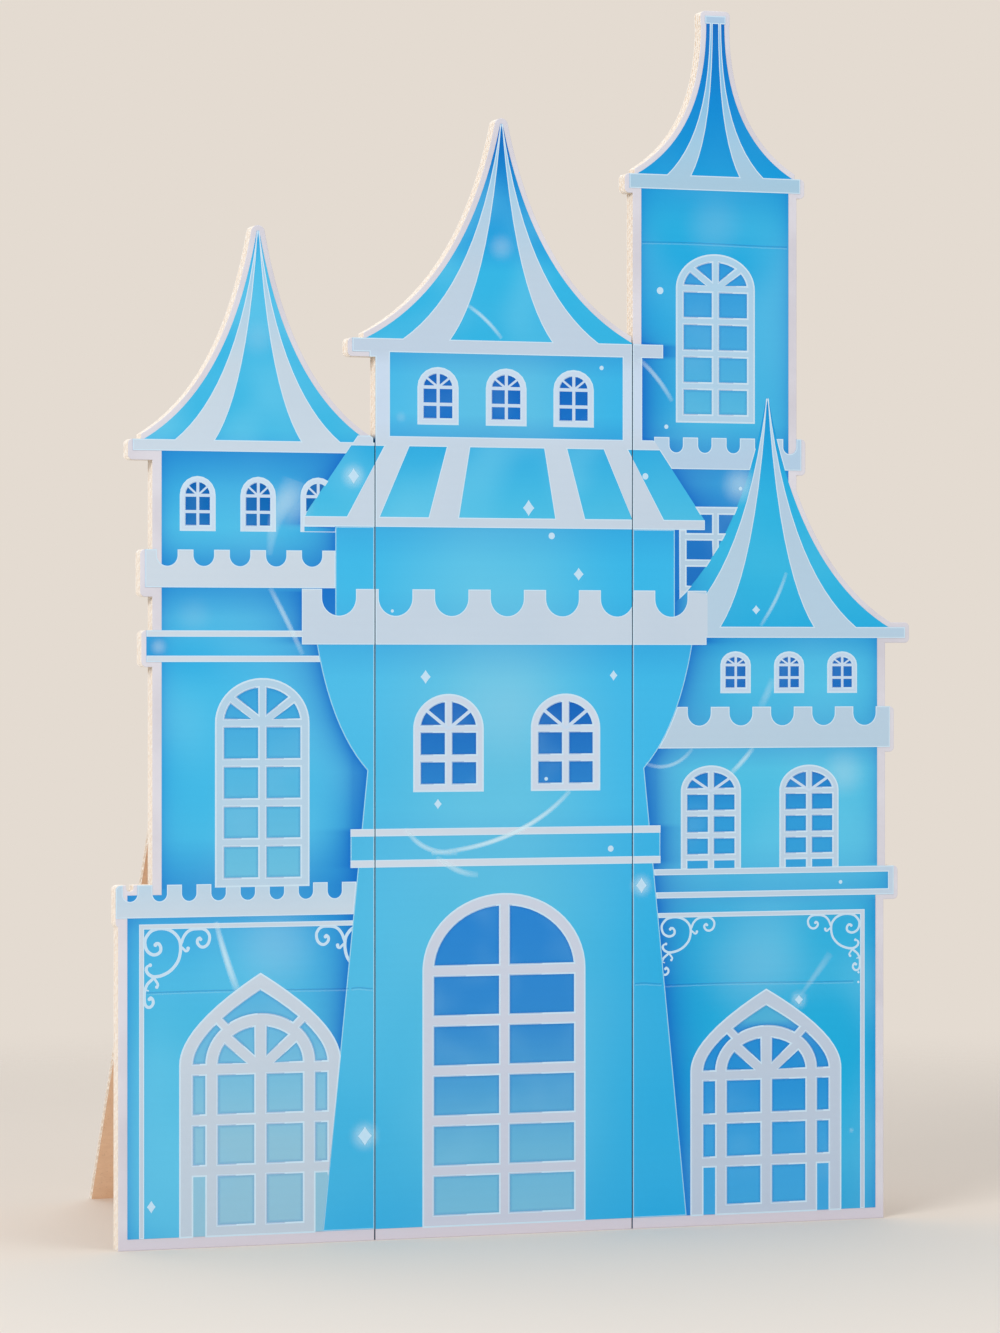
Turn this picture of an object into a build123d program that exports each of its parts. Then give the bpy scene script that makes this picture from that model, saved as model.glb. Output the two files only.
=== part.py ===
from build123d import *
from math import atan2, cos, pi, sin, tan
import os

# A free-standing cardboard castle: a wide central tower between two lower wings.
# Three printed boards stand edge to edge and paper tapes join them at the back. Two folded easel legs,
# each kept open by a folded strap, hold them upright. The print is laid on the front as thin layers.
# Millimetres: X to the right, Y to the back, Z up from the floor.
# The origin is the middle of the centre board's base, at half the board's thickness.

# Boards
board_thickness = 14.0
seam_x = 111.0  # from the origin to the middle of each seam
seam_gap = 1.0
wall_rim = 7.5  # bare card left beside a wall's print
spire_rim = 4.5  # bare card left along a roof's print
corner_radius = 4.0
base_strip = 9.0  # bare card left along the floor
end_rim = 4.0  # bare card left at the free end of a band
ink_thickness = 0.2  # of each layer of the print

# Hinge tapes
tape_width = 40.0
tape_thickness = 0.3
tape_inset = 12.0  # from the floor, and from the eave that crosses the seam

# Easel legs and their straps
leg_x = 199.0  # from the origin to the middle of each leg
leg_width = 100.0
leg_thickness = 7.0
leg_fold_z = 606.0
leg_reach = 345.0  # from the board's back to the inner edge of the foot
flap_height = 58.0
strap_width = 60.0
strap_thickness = 3.0
strap_z = 96.0
strap_tab = 45.0

# Roofs
roof_pull = 0.24  # how close the swept sides bend to the axis, as a share of the half width
roof_lift = 0.25  # height of that bend, as a share of the roof's height
roof_tip = 1.0  # half width of the print at the tip, which keeps the stripes apart there
inner_stripe = 0.38  # edges of the roof stripes, as shares of the half width
outer_stripe = 0.73

# Windows
ray_angle = 37.0  # of the fanlight's slanted bars
head_cuts = 6  # straight lines in the head of a window's glass
rim_cuts = 10  # and in the rim of a small window
small_rows = 2  # rows of panes
tall_rows = 4
deep_rows = 5
point_rows = 3
slim_jamb = 3.2
point_bend = 0.42  # where a pointed frame bends in, as a share of its rise
point_crest = 1.2  # how much deeper the frame is at its point than at its jambs
point_jamb = 10.0
point_inner_half = 45.0
point_inner_jamb = 9.0
point_ray_angle = 41.0  # of the slanted bars in a pointed frame
strut_angle = 45.0  # of the short bars between a pointed frame's two heads
strut_length = 14.0
strut_width = 5.8

# Left wing
left_axis = -209.0
left_low_axis = -205.5
left_base_half = 115.0
left_parapet_half = 117.0
left_parapet_z = 262.0
left_parapet_height = 26.0
left_parapet_pitch = 24.2
left_parapet_notch = 12.0
left_parapet_floor = 13.0
left_nick = 6.0  # the small notch that the board's own edge has in the parapet
left_nick_depth = 5.0
left_wall_half = 87.0
left_band_half = 96.0
left_band_z = 464.0
left_band_height = 25.0
left_crown_half = 97.0
left_crown_z = 523.0
left_crown_height = 30.0
left_crown_pitch = 30.0
left_crown_notch = 17.0
left_crown_floor = 17.0
left_eave_half = 107.0
left_eave_z = 631.0
left_eave_height = 9.0
left_spire_half = 94.0
left_spire_height = 167.0
left_frame_inset = 17.0  # from the board's edge to the white line around the lower storey
band_line = 5.0  # white lines of a plain band
frame_line = 4.0
frame_drop = 5.0  # from the band above to that white line

# Central tower
tower_axis = 2.0
tower_base_half = 157.0
tower_neck_half = 119.5
tower_neck_z = 377.0
tower_flare_half = 162.0
tower_flare_bend = 150.0
tower_flare_lift = 33.0
tower_crown_half = 174.5
tower_crown_z = 478.0
tower_crown_height = 44.5
tower_crown_pitch = 47.8
tower_crown_notch = 28.6
tower_crown_floor = 23.0
tower_loft_half = 146.5
tower_band_half = 133.7
tower_band_z = 299.0
tower_band_height = 31.0
tower_band_line = 6.0
awning_z = 572.5
awning_height = 73.0
awning_half = 173.0
awning_top_half = 127.5
awning_line = 8.0
awning_stripes = ((-1.0, -0.79), (-0.63, -0.39), (-0.24, 0.24), (0.39, 0.63), (0.79, 1.0))
room_half = 100.5
pilaster = 17.0
centre_eave_half = 136.0
centre_eave_z = 713.0
centre_eave_height = 11.0
centre_spire_axis = -3.0
centre_spire_half = 115.5
centre_spire_height = 176.0

# Right tower
right_axis = 184.5
right_wall_half = 73.0
right_crown_half = 81.0
right_crown_z = 622.5
right_crown_height = 26.0
right_crown_pitch = 25.4
right_crown_notch = 12.0
right_crown_floor = 13.5
right_crown_shift = -9.5
right_eave_half = 80.0
right_eave_z = 852.0
right_eave_height = 12.0
right_spire_half = 69.0
right_spire_height = 125.5
right_spire_neck = 8.0
right_spire_lift = 0.28
right_inner_stripe = 0.31
right_outer_stripe = 0.62
right_cap_half = 13.0
right_cap_height = 10.5

# Right wing
wing_axis = 231.0
wing_base_half = 105.5
wing_wall_half = 107.0
wing_band_half = 118.5
wing_band_z = 270.0
wing_band_height = 24.0
wing_crown_half = 115.0
wing_crown_z = 393.0
wing_crown_height = 34.0
wing_crown_pitch = 37.2
wing_crown_notch = 20.5
wing_crown_floor = 18.5
wing_crown_shift = 13.5
wing_eave_half = 129.0
wing_eave_z = 484.0
wing_eave_height = 9.0
wing_spire_half = 110.0
wing_spire_height = 189.0
wing_frame_inset = 17.5
wing_frame_drop = 12.0

# Windows of the left wing. Jambs run from the sill to the spring line, and the rise is the head above it.
left_small_half = 14.0
left_small_pitch = 50.0
left_small_lift = 15.5  # from the crown to the sill
left_small_jambs = 27.5
left_small_rise = 14.5
left_tall_half = 38.5
left_tall_sink = 2.0  # how far the sill hides behind the parapet
left_tall_jambs = 129.5
left_tall_rise = 35.0
left_tall_jamb = 6.0
left_tall_bar = 5.5
left_point_shift = -1.5
left_point_half = 66.5
left_point_spring = 145.0
left_point_rise = 71.0
left_point_pitch = 40.0
left_point_bar = 8.0
left_point_head = 39.0

# Windows of the central tower
tower_small_shift = -1.0
tower_small_half = 16.8
tower_small_pitch = 58.5
tower_small_lift = 10.5  # from the awning to the sill
tower_small_jambs = 29.5
tower_small_rise = 15.5
tower_small_jamb = 3.8
tower_tall_half = 29.4
tower_tall_pitch = 50.5
tower_tall_lift = 30.0  # from the band to the sill
tower_tall_jambs = 50.0
tower_tall_rise = 27.5
tower_tall_jamb = 5.0
tower_tall_bar = 4.8
door_shift = -2.5
door_half = 69.5
door_spring = 214.7
door_rise = 61.3
door_jamb = 8.4
door_bar = 7.8

# Windows of the right tower and the right wing
right_tall_half = 34.4
right_tall_lift = 13.0  # from the crown to the sill
right_tall_jambs = 109.5
right_tall_rise = 28.0
right_tall_jamb = 5.5
right_tall_bar = 5.0
right_low_half = 31.5
right_low_drop = 31.5  # from the crown to the frame's top
right_low_height = 113.0
right_low_jamb = 5.0
right_low_bar = 4.5
wing_small_shift = 19.5
wing_small_half = 12.8
wing_small_pitch = 48.0
wing_small_lift = 12.0  # from the crown to the sill
wing_small_jambs = 22.5
wing_small_rise = 10.5
wing_tall_shift = -6.5
wing_tall_half = 26.0
wing_tall_pitch = 44.0
wing_tall_sink = 29.0  # how far the sill hides behind the band
wing_tall_jambs = 92.5
wing_tall_rise = 20.5
wing_tall_jamb = 4.2
wing_tall_bar = 4.0
wing_point_shift = -1.0
wing_point_half = 67.0
wing_point_spring = 127.0
wing_point_rise = 66.0
wing_point_pitch = 35.5
wing_point_bar = 7.5
wing_point_head = 36.0

# Levels and planes
reach = 1200.0  # past every outline, to clip one side of it
back_y = board_thickness / 2
front = Plane.XZ.offset(board_thickness / 2)
left_seam = -seam_x - seam_gap / 2
right_seam = seam_x + seam_gap / 2
left_parapet_top = left_parapet_z + left_parapet_height
left_small_z = left_crown_z + left_crown_height + left_small_lift
left_tall_z = left_parapet_top - left_tall_sink
awning_foot_z = awning_z + awning_line
awning_top_z = awning_z + awning_height
tower_small_z = awning_top_z + tower_small_lift
tower_tall_z = tower_band_z + tower_band_height + tower_tall_lift
right_tall_z = right_crown_z + right_crown_height + right_tall_lift
right_low_top = right_crown_z - right_low_drop
right_cap_z = right_eave_z + right_eave_height + right_spire_height
wing_band_top = wing_band_z + wing_band_height
wing_small_z = wing_crown_z + wing_crown_height + wing_small_lift
wing_tall_z = wing_band_top - wing_tall_sink
lean = atan2(leg_reach, leg_fold_z)
slant = 1 / cos(lean)

# Round-headed windows: axis, half width, sill, spring line, rise and jamb, then the bar and the rows of
# panes of those with bars
left_small = [(left_axis + left_small_pitch * i, left_small_half, left_small_z,
               left_small_z + left_small_jambs, left_small_rise, slim_jamb)
              for i in (-1, 0, 1)]
left_tall = (left_low_axis, left_tall_half, left_tall_z, left_tall_z + left_tall_jambs, left_tall_rise,
             left_tall_jamb, left_tall_bar, tall_rows)
tower_small = [(tower_axis + tower_small_shift + tower_small_pitch * i, tower_small_half, tower_small_z,
                tower_small_z + tower_small_jambs, tower_small_rise, tower_small_jamb) for i in (-1, 0, 1)]
tower_tall = [(tower_axis + tower_tall_pitch * i, tower_tall_half, tower_tall_z,
               tower_tall_z + tower_tall_jambs, tower_tall_rise, tower_tall_jamb, tower_tall_bar,
               small_rows) for i in (-1, 1)]
tower_door = (tower_axis + door_shift, door_half, base_strip, door_spring, door_rise, door_jamb,
              door_bar, deep_rows)
right_tall = (right_axis, right_tall_half, right_tall_z, right_tall_z + right_tall_jambs, right_tall_rise,
              right_tall_jamb, right_tall_bar, tall_rows)
wing_small = [(wing_axis + wing_small_shift + wing_small_pitch * i, wing_small_half, wing_small_z,
               wing_small_z + wing_small_jambs, wing_small_rise, slim_jamb)
              for i in (-1, 0, 1)]
wing_tall = [(wing_axis + wing_tall_shift + wing_tall_pitch * i, wing_tall_half, wing_tall_z,
              wing_tall_z + wing_tall_jambs, wing_tall_rise, wing_tall_jamb, wing_tall_bar, deep_rows)
             for i in (-1, 1)]

# The square-headed window: axis, half width, sill and top
right_low = (right_axis, right_low_half, right_low_top - right_low_height, right_low_top)

# Pointed windows: axis, half width, sill, spring line and rise, then the pitch of the rows and the bar
left_point = (left_low_axis + left_point_shift, left_point_half, base_strip, left_point_spring,
              left_point_rise, left_point_pitch, left_point_bar, left_point_head)
wing_point = (wing_axis + wing_point_shift, wing_point_half, base_strip, wing_point_spring,
              wing_point_rise, wing_point_pitch, wing_point_bar, wing_point_head)

# Roofs: axis, foot, half width and height. The right one's neck adds its half width, pull and lift.
left_spire = (left_axis, left_eave_z + left_eave_height, left_spire_half, left_spire_height)
centre_spire = (centre_spire_axis, centre_eave_z + centre_eave_height, centre_spire_half,
                centre_spire_height)
right_spire = (right_axis, right_eave_z + right_eave_height, right_spire_half, right_spire_height)
right_neck = (right_spire_neck, 0.0, right_spire_lift)
wing_spire = (wing_axis, wing_eave_z + wing_eave_height, wing_spire_half, wing_spire_height)

# White stripes of the roofs, each between two shares of the half width
white_stripes = ((-outer_stripe, -inner_stripe), (inner_stripe, outer_stripe))
right_white_stripes = ((-right_outer_stripe, -right_inner_stripe),
                       (right_inner_stripe, right_outer_stripe))


def block(x0, x1, z0, z1, mode=Mode.ADD):
    """A rectangle between two X values and two Z values."""
    with Locations(((x0 + x1) / 2, (z0 + z1) / 2)):
        Rectangle(x1 - x0, z1 - z0, mode=mode)


def centred(axis, half, z, height, mode=Mode.ADD):
    """A rectangle about an axis, standing on z."""
    block(axis - half, axis + half, z, z + height, mode)


def rounded(axis, half, z, height):
    """A band of the board about an axis, with the die cutter's round corners."""
    with Locations((axis, z + height / 2)):
        RectangleRounded(2 * half, height, corner_radius)


def roof(axis, z, half, height, tip=roof_tip, pull=roof_pull, lift=roof_lift, shares=(-1, 1)):
    """A roof, or one stripe of it between two shares of its half width, with sides swept up to the tip."""
    with BuildLine() as outline:
        sides = []
        for share in shares:
            foot = (axis + share * half, z)
            bend = (axis + share * (tip + pull * (half - tip)), z + lift * height)
            sides.append(Bezier(foot, bend, (axis + share * tip, z + height)))
        Line(sides[0] @ 0, sides[1] @ 0)
        Line(sides[0] @ 1, sides[1] @ 1)
    make_face(outline.edges())


def roof_rim(axis, z, half, height, tip=roof_tip, pull=roof_pull, lift=roof_lift):
    """A roof with its bare rim: the curve's control points moved out square to it, and a round tip."""
    foot = Vector(half, 0)
    bend = Vector(tip + pull * (half - tip), lift * height)
    top = Vector(tip, height)
    foot_out = Vector(bend.Y - foot.Y, foot.X - bend.X).normalized()
    top_out = Vector(top.Y - bend.Y, bend.X - top.X).normalized()
    rim_foot = foot + foot_out * spire_rim
    rim_bend = bend + (foot_out + top_out) * (spire_rim / (1 + foot_out.dot(top_out)))
    rim_top = top + top_out * spire_rim
    with BuildLine() as outline:
        ends = []
        for side in (-1, 1):
            curve = Bezier(*[(axis + side * point.X, z + point.Y) for point in (rim_foot, rim_bend, rim_top)])
            ends.append(Line((axis + side * rim_foot.X, z), curve @ 0))
        Line(ends[0] @ 0, ends[1] @ 0)
        ThreePointArc((axis - rim_top.X, z + rim_top.Y), (axis, z + height + spire_rim),
                      (axis + rim_top.X, z + rim_top.Y))
    make_face(outline.edges())


def stripes(axis, z, half, height, edges, *form):
    """Stripes of a roof, each between two shares of its half width."""
    for shares in edges:
        roof(axis, z, half, height, *(form or (roof_tip, roof_pull, roof_lift)), shares)


def notches(axis, reach, z, height, pitch, width, floor):
    """The U notches of a crenellated band, counted both ways from one on the axis."""
    count = int(reach / pitch) + 1
    length = height - floor + width
    with Locations(*[(axis + pitch * i, z + floor + length / 2) for i in range(-count, count + 1)]):
        SlotOverall(length, width, rotation=90, mode=Mode.SUBTRACT)


def arch(axis, half, sill, spring, rise, mode=Mode.ADD):
    """A round-headed opening: jambs up to the spring line and half an ellipse over it."""
    block(axis - half, axis + half, sill, spring, mode)
    with Locations((axis, spring)):
        Ellipse(half, rise, mode=mode)


def cross_bars(axis, reach, spring, pitch, rows, bar):
    """Level bars from the spring line down, one to each row of panes."""
    for row in range(rows):
        centred(axis, reach, spring - row * pitch - bar / 2, bar)


def fan_rays(axis, hub, length, bar, slant=ray_angle):
    """The two slanted bars of a fanlight, which meet in its hub."""
    with Locations((axis, hub)):
        for angle in (slant, 180 - slant):
            Rectangle(length, bar, rotation=angle, align=(Align.MIN, Align.CENTER))


def arched_glass(axis, half, sill, spring, rise, cuts=head_cuts, mode=Mode.ADD):
    """Glass of a round-headed window. Its head is cut in straight lines, which the frame covers."""
    turns = [pi * i / cuts for i in range(cuts + 1)]
    Polygon((axis - half, sill), (axis + half, sill),
            *[(axis + half * cos(turn), spring + rise * sin(turn)) for turn in turns], align=None, mode=mode)


def arched_rim(axis, half, sill, spring, rise, jamb):
    """The rim of a small round-headed window, cut in lines too short to tell from an arch."""
    arched_glass(axis, half, sill, spring, rise, rim_cuts)
    arched_glass(axis, half - jamb, sill + jamb, spring, rise - jamb, rim_cuts, Mode.SUBTRACT)


def arched_frame(axis, half, sill, spring, rise, jamb, bar, rows, rays=True):
    """A round-headed frame with a mullion, rows of panes and a fanlight."""
    arch(axis, half, sill, spring, rise)
    arch(axis, half - jamb, sill + jamb, spring, rise - jamb, Mode.SUBTRACT)
    block(axis - bar / 2, axis + bar / 2, sill, spring + rise - jamb / 2)
    cross_bars(axis, half - jamb / 2, spring, (spring - sill - jamb / 2) / rows, rows, bar)
    if rays:
        fan_rays(axis, spring, rise, bar)


def square_frame(axis, half, sill, top):
    """The square-headed frame with a mullion and rows of panes."""
    jamb = right_low_jamb
    bar = right_low_bar
    block(axis - half, axis + half, sill, top)
    block(axis - half + jamb, axis + half - jamb, sill + jamb, top - jamb, Mode.SUBTRACT)
    block(axis - bar / 2, axis + bar / 2, sill, top)
    cross_bars(axis, half - jamb / 2, top - jamb / 2, (top - sill - jamb) / deep_rows, deep_rows, bar)


def pointed(axis, half, sill, spring, rise, mode=Mode.ADD):
    """A pointed opening: jambs that bend in over the spring line and run straight to the point."""
    with BuildLine() as outline:
        Polyline((axis - half, spring), (axis - half, sill), (axis + half, sill), (axis + half, spring))
        for side in (-half, half):
            Bezier((axis + side, spring), (axis + side, spring + point_bend * rise), (axis, spring + rise))
    make_face(outline.edges(), mode=mode)


def pointed_frame(axis, half, sill, spring, rise, pitch, bar, head):
    """A pointed frame around a round-headed one, with bars across both and struts between their heads."""
    inner = point_inner_half
    jamb = point_inner_jamb
    pointed(axis, half, sill, spring, rise)
    pointed(axis, half - point_jamb, sill, spring, rise - point_crest * point_jamb, Mode.SUBTRACT)
    arch(axis, inner, sill, spring, head)
    arch(axis, inner - jamb, sill + bar, spring, head - jamb, Mode.SUBTRACT)
    block(axis - jamb / 2, axis + jamb / 2, sill, spring + head - jamb / 2)
    cross_bars(axis, half - point_jamb / 2, spring - bar / 2, pitch, point_rows, bar)
    fan_rays(axis, spring - bar / 2, inner - jamb / 2, bar, point_ray_angle)
    with Locations((axis, spring)):
        for angle in (strut_angle, 180 - strut_angle):
            with PolarLocations(head, 1, start_angle=angle):
                Rectangle(strut_length, strut_width, align=(Align.MIN, Align.CENTER))


def awning_part(share_0, share_1, z0, z1):
    """The awning between two shares of its half width and two heights."""
    slope = (awning_top_half - awning_half) / (awning_height - awning_line)
    half_0 = awning_half + slope * (z0 - awning_foot_z)
    half_1 = awning_half + slope * (z1 - awning_foot_z)
    Polygon((tower_axis + share_0 * half_0, z0), (tower_axis + share_1 * half_0, z0),
            (tower_axis + share_1 * half_1, z1), (tower_axis + share_0 * half_1, z1), align=None)


def leg_face(z):
    """Where a leg's inner face stands behind the board at height z."""
    return back_y + (leg_fold_z - z) * tan(lean)


# Outlines of the boards, drawn flat. Each roof keeps a bare rim, and the walls stand on the floor.
with BuildSketch() as left_outline:
    roof_rim(*left_spire)
    rounded(left_axis, left_parapet_half, left_parapet_z - wall_rim, left_parapet_height + wall_rim)
    notches(left_low_axis - left_parapet_pitch / 2, left_parapet_half, left_parapet_z, left_parapet_height,
            left_parapet_pitch, left_nick, left_parapet_height - left_nick_depth)
    centred(left_axis, left_base_half, 0, left_parapet_z)
    block(left_axis - left_wall_half, left_seam, 0, left_eave_z)
    rounded(left_axis, left_band_half, left_band_z - corner_radius, left_band_height + corner_radius)
    rounded(left_axis, left_crown_half, left_crown_z - wall_rim, left_crown_height + wall_rim)
    rounded(left_axis, left_eave_half, left_eave_z - wall_rim, left_eave_height + wall_rim)
    block(-reach, left_seam, 0, reach, Mode.INTERSECT)

with BuildSketch() as centre_outline:
    roof_rim(*centre_spire)
    rounded(tower_axis, centre_eave_half, centre_eave_z - corner_radius, centre_eave_height + corner_radius)
    block(left_seam + seam_gap, right_seam - seam_gap, 0, centre_eave_z)
    block(-reach, right_seam - seam_gap, 0, reach, Mode.INTERSECT)

with BuildSketch() as right_outline:
    roof_rim(*right_spire, *right_neck)
    roof_rim(*wing_spire)
    rounded(right_axis, right_cap_half, right_cap_z - corner_radius, right_cap_height + corner_radius)
    block(right_seam, right_axis + right_wall_half, 0, right_eave_z)
    rounded(right_axis, right_crown_half, right_crown_z - corner_radius, right_crown_height + corner_radius)
    centred(wing_axis, wing_base_half, 0, wing_band_z)
    centred(wing_axis, wing_wall_half, wing_band_z, wing_eave_z - wing_band_z)
    rounded(wing_axis, wing_band_half, wing_band_z - corner_radius, wing_band_height + corner_radius)
    rounded(wing_axis, wing_crown_half, wing_crown_z - corner_radius, wing_crown_height + corner_radius)
    rounded(wing_axis, wing_eave_half, wing_eave_z - corner_radius, wing_eave_height + 2 * corner_radius)
    block(right_seam, reach, 0, reach, Mode.INTERSECT)
    rounded(right_axis, right_eave_half, right_eave_z - corner_radius, right_eave_height + corner_radius)

# The central tower's print, drawn whole. It runs over both seams.
with BuildSketch() as tower_crown:
    centred(tower_axis, tower_crown_half, tower_crown_z, tower_crown_height)
    notches(tower_axis, tower_crown_half, tower_crown_z, tower_crown_height, tower_crown_pitch,
            tower_crown_notch, tower_crown_floor)

with BuildSketch() as tower_walls:
    with BuildLine():
        for side in (-1, 1):
            neck = (tower_axis + side * tower_neck_half, tower_neck_z)
            bend = (tower_axis + side * tower_flare_bend, tower_neck_z + tower_flare_lift)
            flare = (tower_axis + side * tower_flare_half, tower_crown_z)
            Line((tower_axis + side * tower_base_half, base_strip), neck)
            Bezier(neck, bend, flare)
        Line((tower_axis - tower_base_half, base_strip), (tower_axis + tower_base_half, base_strip))
        Line((tower_axis - tower_flare_half, tower_crown_z), (tower_axis + tower_flare_half, tower_crown_z))
    make_face()
    centred(tower_axis, tower_band_half, tower_band_z, tower_band_height)
    block(tower_axis - tower_loft_half, tower_axis + tower_loft_half, tower_crown_z, awning_z)
    block(tower_axis - room_half, tower_axis + room_half, awning_top_z, centre_eave_z)

with BuildSketch() as tower_ground:
    add(tower_walls.sketch)
    add(tower_crown.sketch)
    block(tower_axis - room_half - pilaster, tower_axis + room_half + pilaster, awning_top_z, centre_eave_z)
    block(tower_axis - centre_eave_half + end_rim, tower_axis + centre_eave_half, centre_eave_z,
          centre_eave_z + centre_eave_height)

with BuildSketch() as tower_roof:
    centred(tower_axis, awning_half, awning_z, awning_line)
    awning_part(-1, 1, awning_foot_z, awning_top_z)
    roof(*centre_spire)

with BuildSketch() as tower_face:
    add(tower_ground.sketch)
    add(tower_roof.sketch)

with BuildSketch() as tower_trim:
    stripes(*centre_spire, white_stripes)
    for blue, next_blue in zip(awning_stripes, awning_stripes[1:]):
        awning_part(blue[1], next_blue[0], awning_foot_z, awning_top_z - awning_line)
    awning_part(-1, 1, awning_top_z - awning_line, awning_top_z)
    add(tower_crown.sketch)
    centred(tower_axis, tower_band_half, tower_band_z, tower_band_line)
    centred(tower_axis, tower_band_half, tower_band_z + tower_band_height - tower_band_line, tower_band_line)
    centred(tower_axis, awning_half, awning_z, awning_line)
    for side in (-1, 1):
        block(tower_axis + side * (room_half + pilaster / 2) - pilaster / 2,
              tower_axis + side * (room_half + pilaster / 2) + pilaster / 2, awning_top_z, centre_eave_z)
    block(tower_axis - centre_eave_half + end_rim, tower_axis + centre_eave_half, centre_eave_z,
          centre_eave_z + centre_eave_height)

with BuildSketch() as tower_frames:
    for window in tower_small:
        arched_rim(*window)
    for window in tower_tall + [tower_door]:
        arched_frame(*window, rays=False)

with BuildSketch() as tower_glass:
    for window in tower_small + tower_tall + [tower_door]:
        arched_glass(*window[:5])

# The left wing's print, without the tower in front of it
with BuildSketch() as left_roof:
    roof(*left_spire)

with BuildSketch() as left_stripes:
    stripes(*left_spire, white_stripes)

with BuildSketch() as left_ornament:
    centred(left_axis, left_parapet_half, left_parapet_z, left_parapet_height)
    notches(left_low_axis - left_parapet_pitch / 2, left_parapet_half, left_parapet_z, left_parapet_height,
            left_parapet_pitch, left_parapet_notch, left_parapet_floor)
    centred(left_axis, left_crown_half - end_rim, left_crown_z, left_crown_height)
    notches(left_axis - left_crown_pitch / 2, left_crown_half, left_crown_z, left_crown_height,
            left_crown_pitch, left_crown_notch, left_crown_floor)
    centred(left_axis, left_band_half - end_rim, left_band_z, band_line)
    centred(left_axis, left_band_half - end_rim, left_band_z + left_band_height - band_line, band_line)
    centred(left_axis, left_eave_half - end_rim, left_eave_z, left_eave_height)
    left_frame_x = left_axis - left_base_half + left_frame_inset
    left_frame_z = left_parapet_z - frame_drop
    block(left_frame_x, left_seam, left_frame_z - frame_line, left_frame_z)
    block(left_frame_x, left_frame_x + frame_line, base_strip, left_frame_z)

with BuildSketch() as left_ground:
    block(left_axis - left_base_half + wall_rim, left_seam, base_strip,
          left_parapet_z + left_parapet_floor + left_nick_depth)
    block(left_axis - left_wall_half + wall_rim, left_seam, left_parapet_z, left_eave_z)
    block(left_axis - left_band_half + end_rim, left_seam, left_band_z, left_band_z + left_band_height)
    add(left_ornament.sketch)

with BuildSketch() as left_frames:
    for window in left_small:
        arched_rim(*window)
    arched_frame(*left_tall)
    pointed_frame(*left_point)

with BuildSketch() as left_glass:
    for window in left_small + [left_tall]:
        arched_glass(*window[:5])
    pointed(*left_point[:5])

# The right tower and the wing before it, without the central tower in front of them
with BuildSketch() as wing_face:
    roof(*wing_spire)
    block(right_seam, wing_axis + wing_eave_half, wing_eave_z, wing_eave_z + wing_eave_height)
    block(right_seam, wing_axis + wing_wall_half, base_strip, wing_eave_z)

with BuildSketch() as right_roof:
    roof(*right_spire, *right_neck)
    roof(*wing_spire)

with BuildSketch() as right_stripes:
    stripes(*right_spire, right_white_stripes, *right_neck)
    stripes(*wing_spire, white_stripes)

with BuildSketch() as right_ornament:
    centred(right_axis, right_crown_half - end_rim, right_crown_z, right_crown_height)
    notches(right_axis + right_crown_shift, right_crown_half, right_crown_z, right_crown_height,
            right_crown_pitch, right_crown_notch, right_crown_floor)
    add(wing_face.sketch, mode=Mode.SUBTRACT)
    centred(right_axis, right_eave_half - end_rim, right_eave_z, right_eave_height)
    centred(right_axis, right_cap_half - end_rim, right_cap_z, right_cap_height - end_rim)
    centred(wing_axis, wing_crown_half - end_rim, wing_crown_z, wing_crown_height)
    notches(wing_axis + wing_crown_shift, wing_crown_half, wing_crown_z, wing_crown_height,
            wing_crown_pitch, wing_crown_notch, wing_crown_floor)
    centred(wing_axis, wing_eave_half - end_rim, wing_eave_z, wing_eave_height)
    wing_band_end = wing_axis + wing_band_half - end_rim
    block(right_seam, wing_band_end, wing_band_z, wing_band_z + band_line)
    block(right_seam, wing_band_end, wing_band_top - band_line, wing_band_top)
    block(wing_band_end - band_line, wing_band_end, wing_band_z, wing_band_top)
    wing_frame_x = wing_axis + wing_base_half - wing_frame_inset
    wing_frame_z = wing_band_z - wing_frame_drop
    block(right_seam, wing_frame_x, wing_frame_z - frame_line, wing_frame_z)
    block(wing_frame_x - frame_line, wing_frame_x, base_strip, wing_frame_z)

with BuildSketch() as right_ground:
    block(right_seam, right_axis + right_wall_half - wall_rim, wing_eave_z, right_eave_z)
    block(right_axis - right_wall_half, right_axis - right_wall_half + wall_rim,
          centre_eave_z, right_eave_z, Mode.SUBTRACT)
    add(wing_face.sketch, mode=Mode.SUBTRACT)
    block(right_seam, wing_axis + wing_base_half - wall_rim, base_strip, wing_band_z)
    block(right_seam, wing_axis + wing_wall_half - wall_rim, wing_band_z, wing_eave_z)
    block(right_seam, wing_band_end, wing_band_z, wing_band_top)
    add(right_ornament.sketch)

with BuildSketch() as right_frames:
    square_frame(*right_low)
    arched_frame(*right_tall)
    add(wing_face.sketch, mode=Mode.SUBTRACT)
    for window in wing_small:
        arched_rim(*window)
    for window in wing_tall:
        arched_frame(*window, rays=False)
    block(right_seam, wing_band_end, base_strip, wing_band_top, Mode.SUBTRACT)
    pointed_frame(*wing_point)

with BuildSketch() as right_glass:
    centred(right_axis, right_low_half, right_low_top - right_low_height, right_low_height)
    arched_glass(*right_tall[:5])
    add(wing_face.sketch, mode=Mode.SUBTRACT)
    for window in wing_small + wing_tall:
        arched_glass(*window[:5])
    block(right_seam, wing_band_end, base_strip, wing_band_top, Mode.SUBTRACT)
    pointed(*wing_point[:5])

os.makedirs("parts", exist_ok=True)

# Boards
for name, outline in (("left_panel", left_outline), ("centre_panel", centre_outline),
                      ("right_panel", right_outline)):
    with BuildPart() as panel:
        with BuildSketch(front):
            add(outline.sketch)
        extrude(amount=-board_thickness)
    panel.part.label = name
    export_step(panel.part, f"parts/{name}.step")

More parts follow.
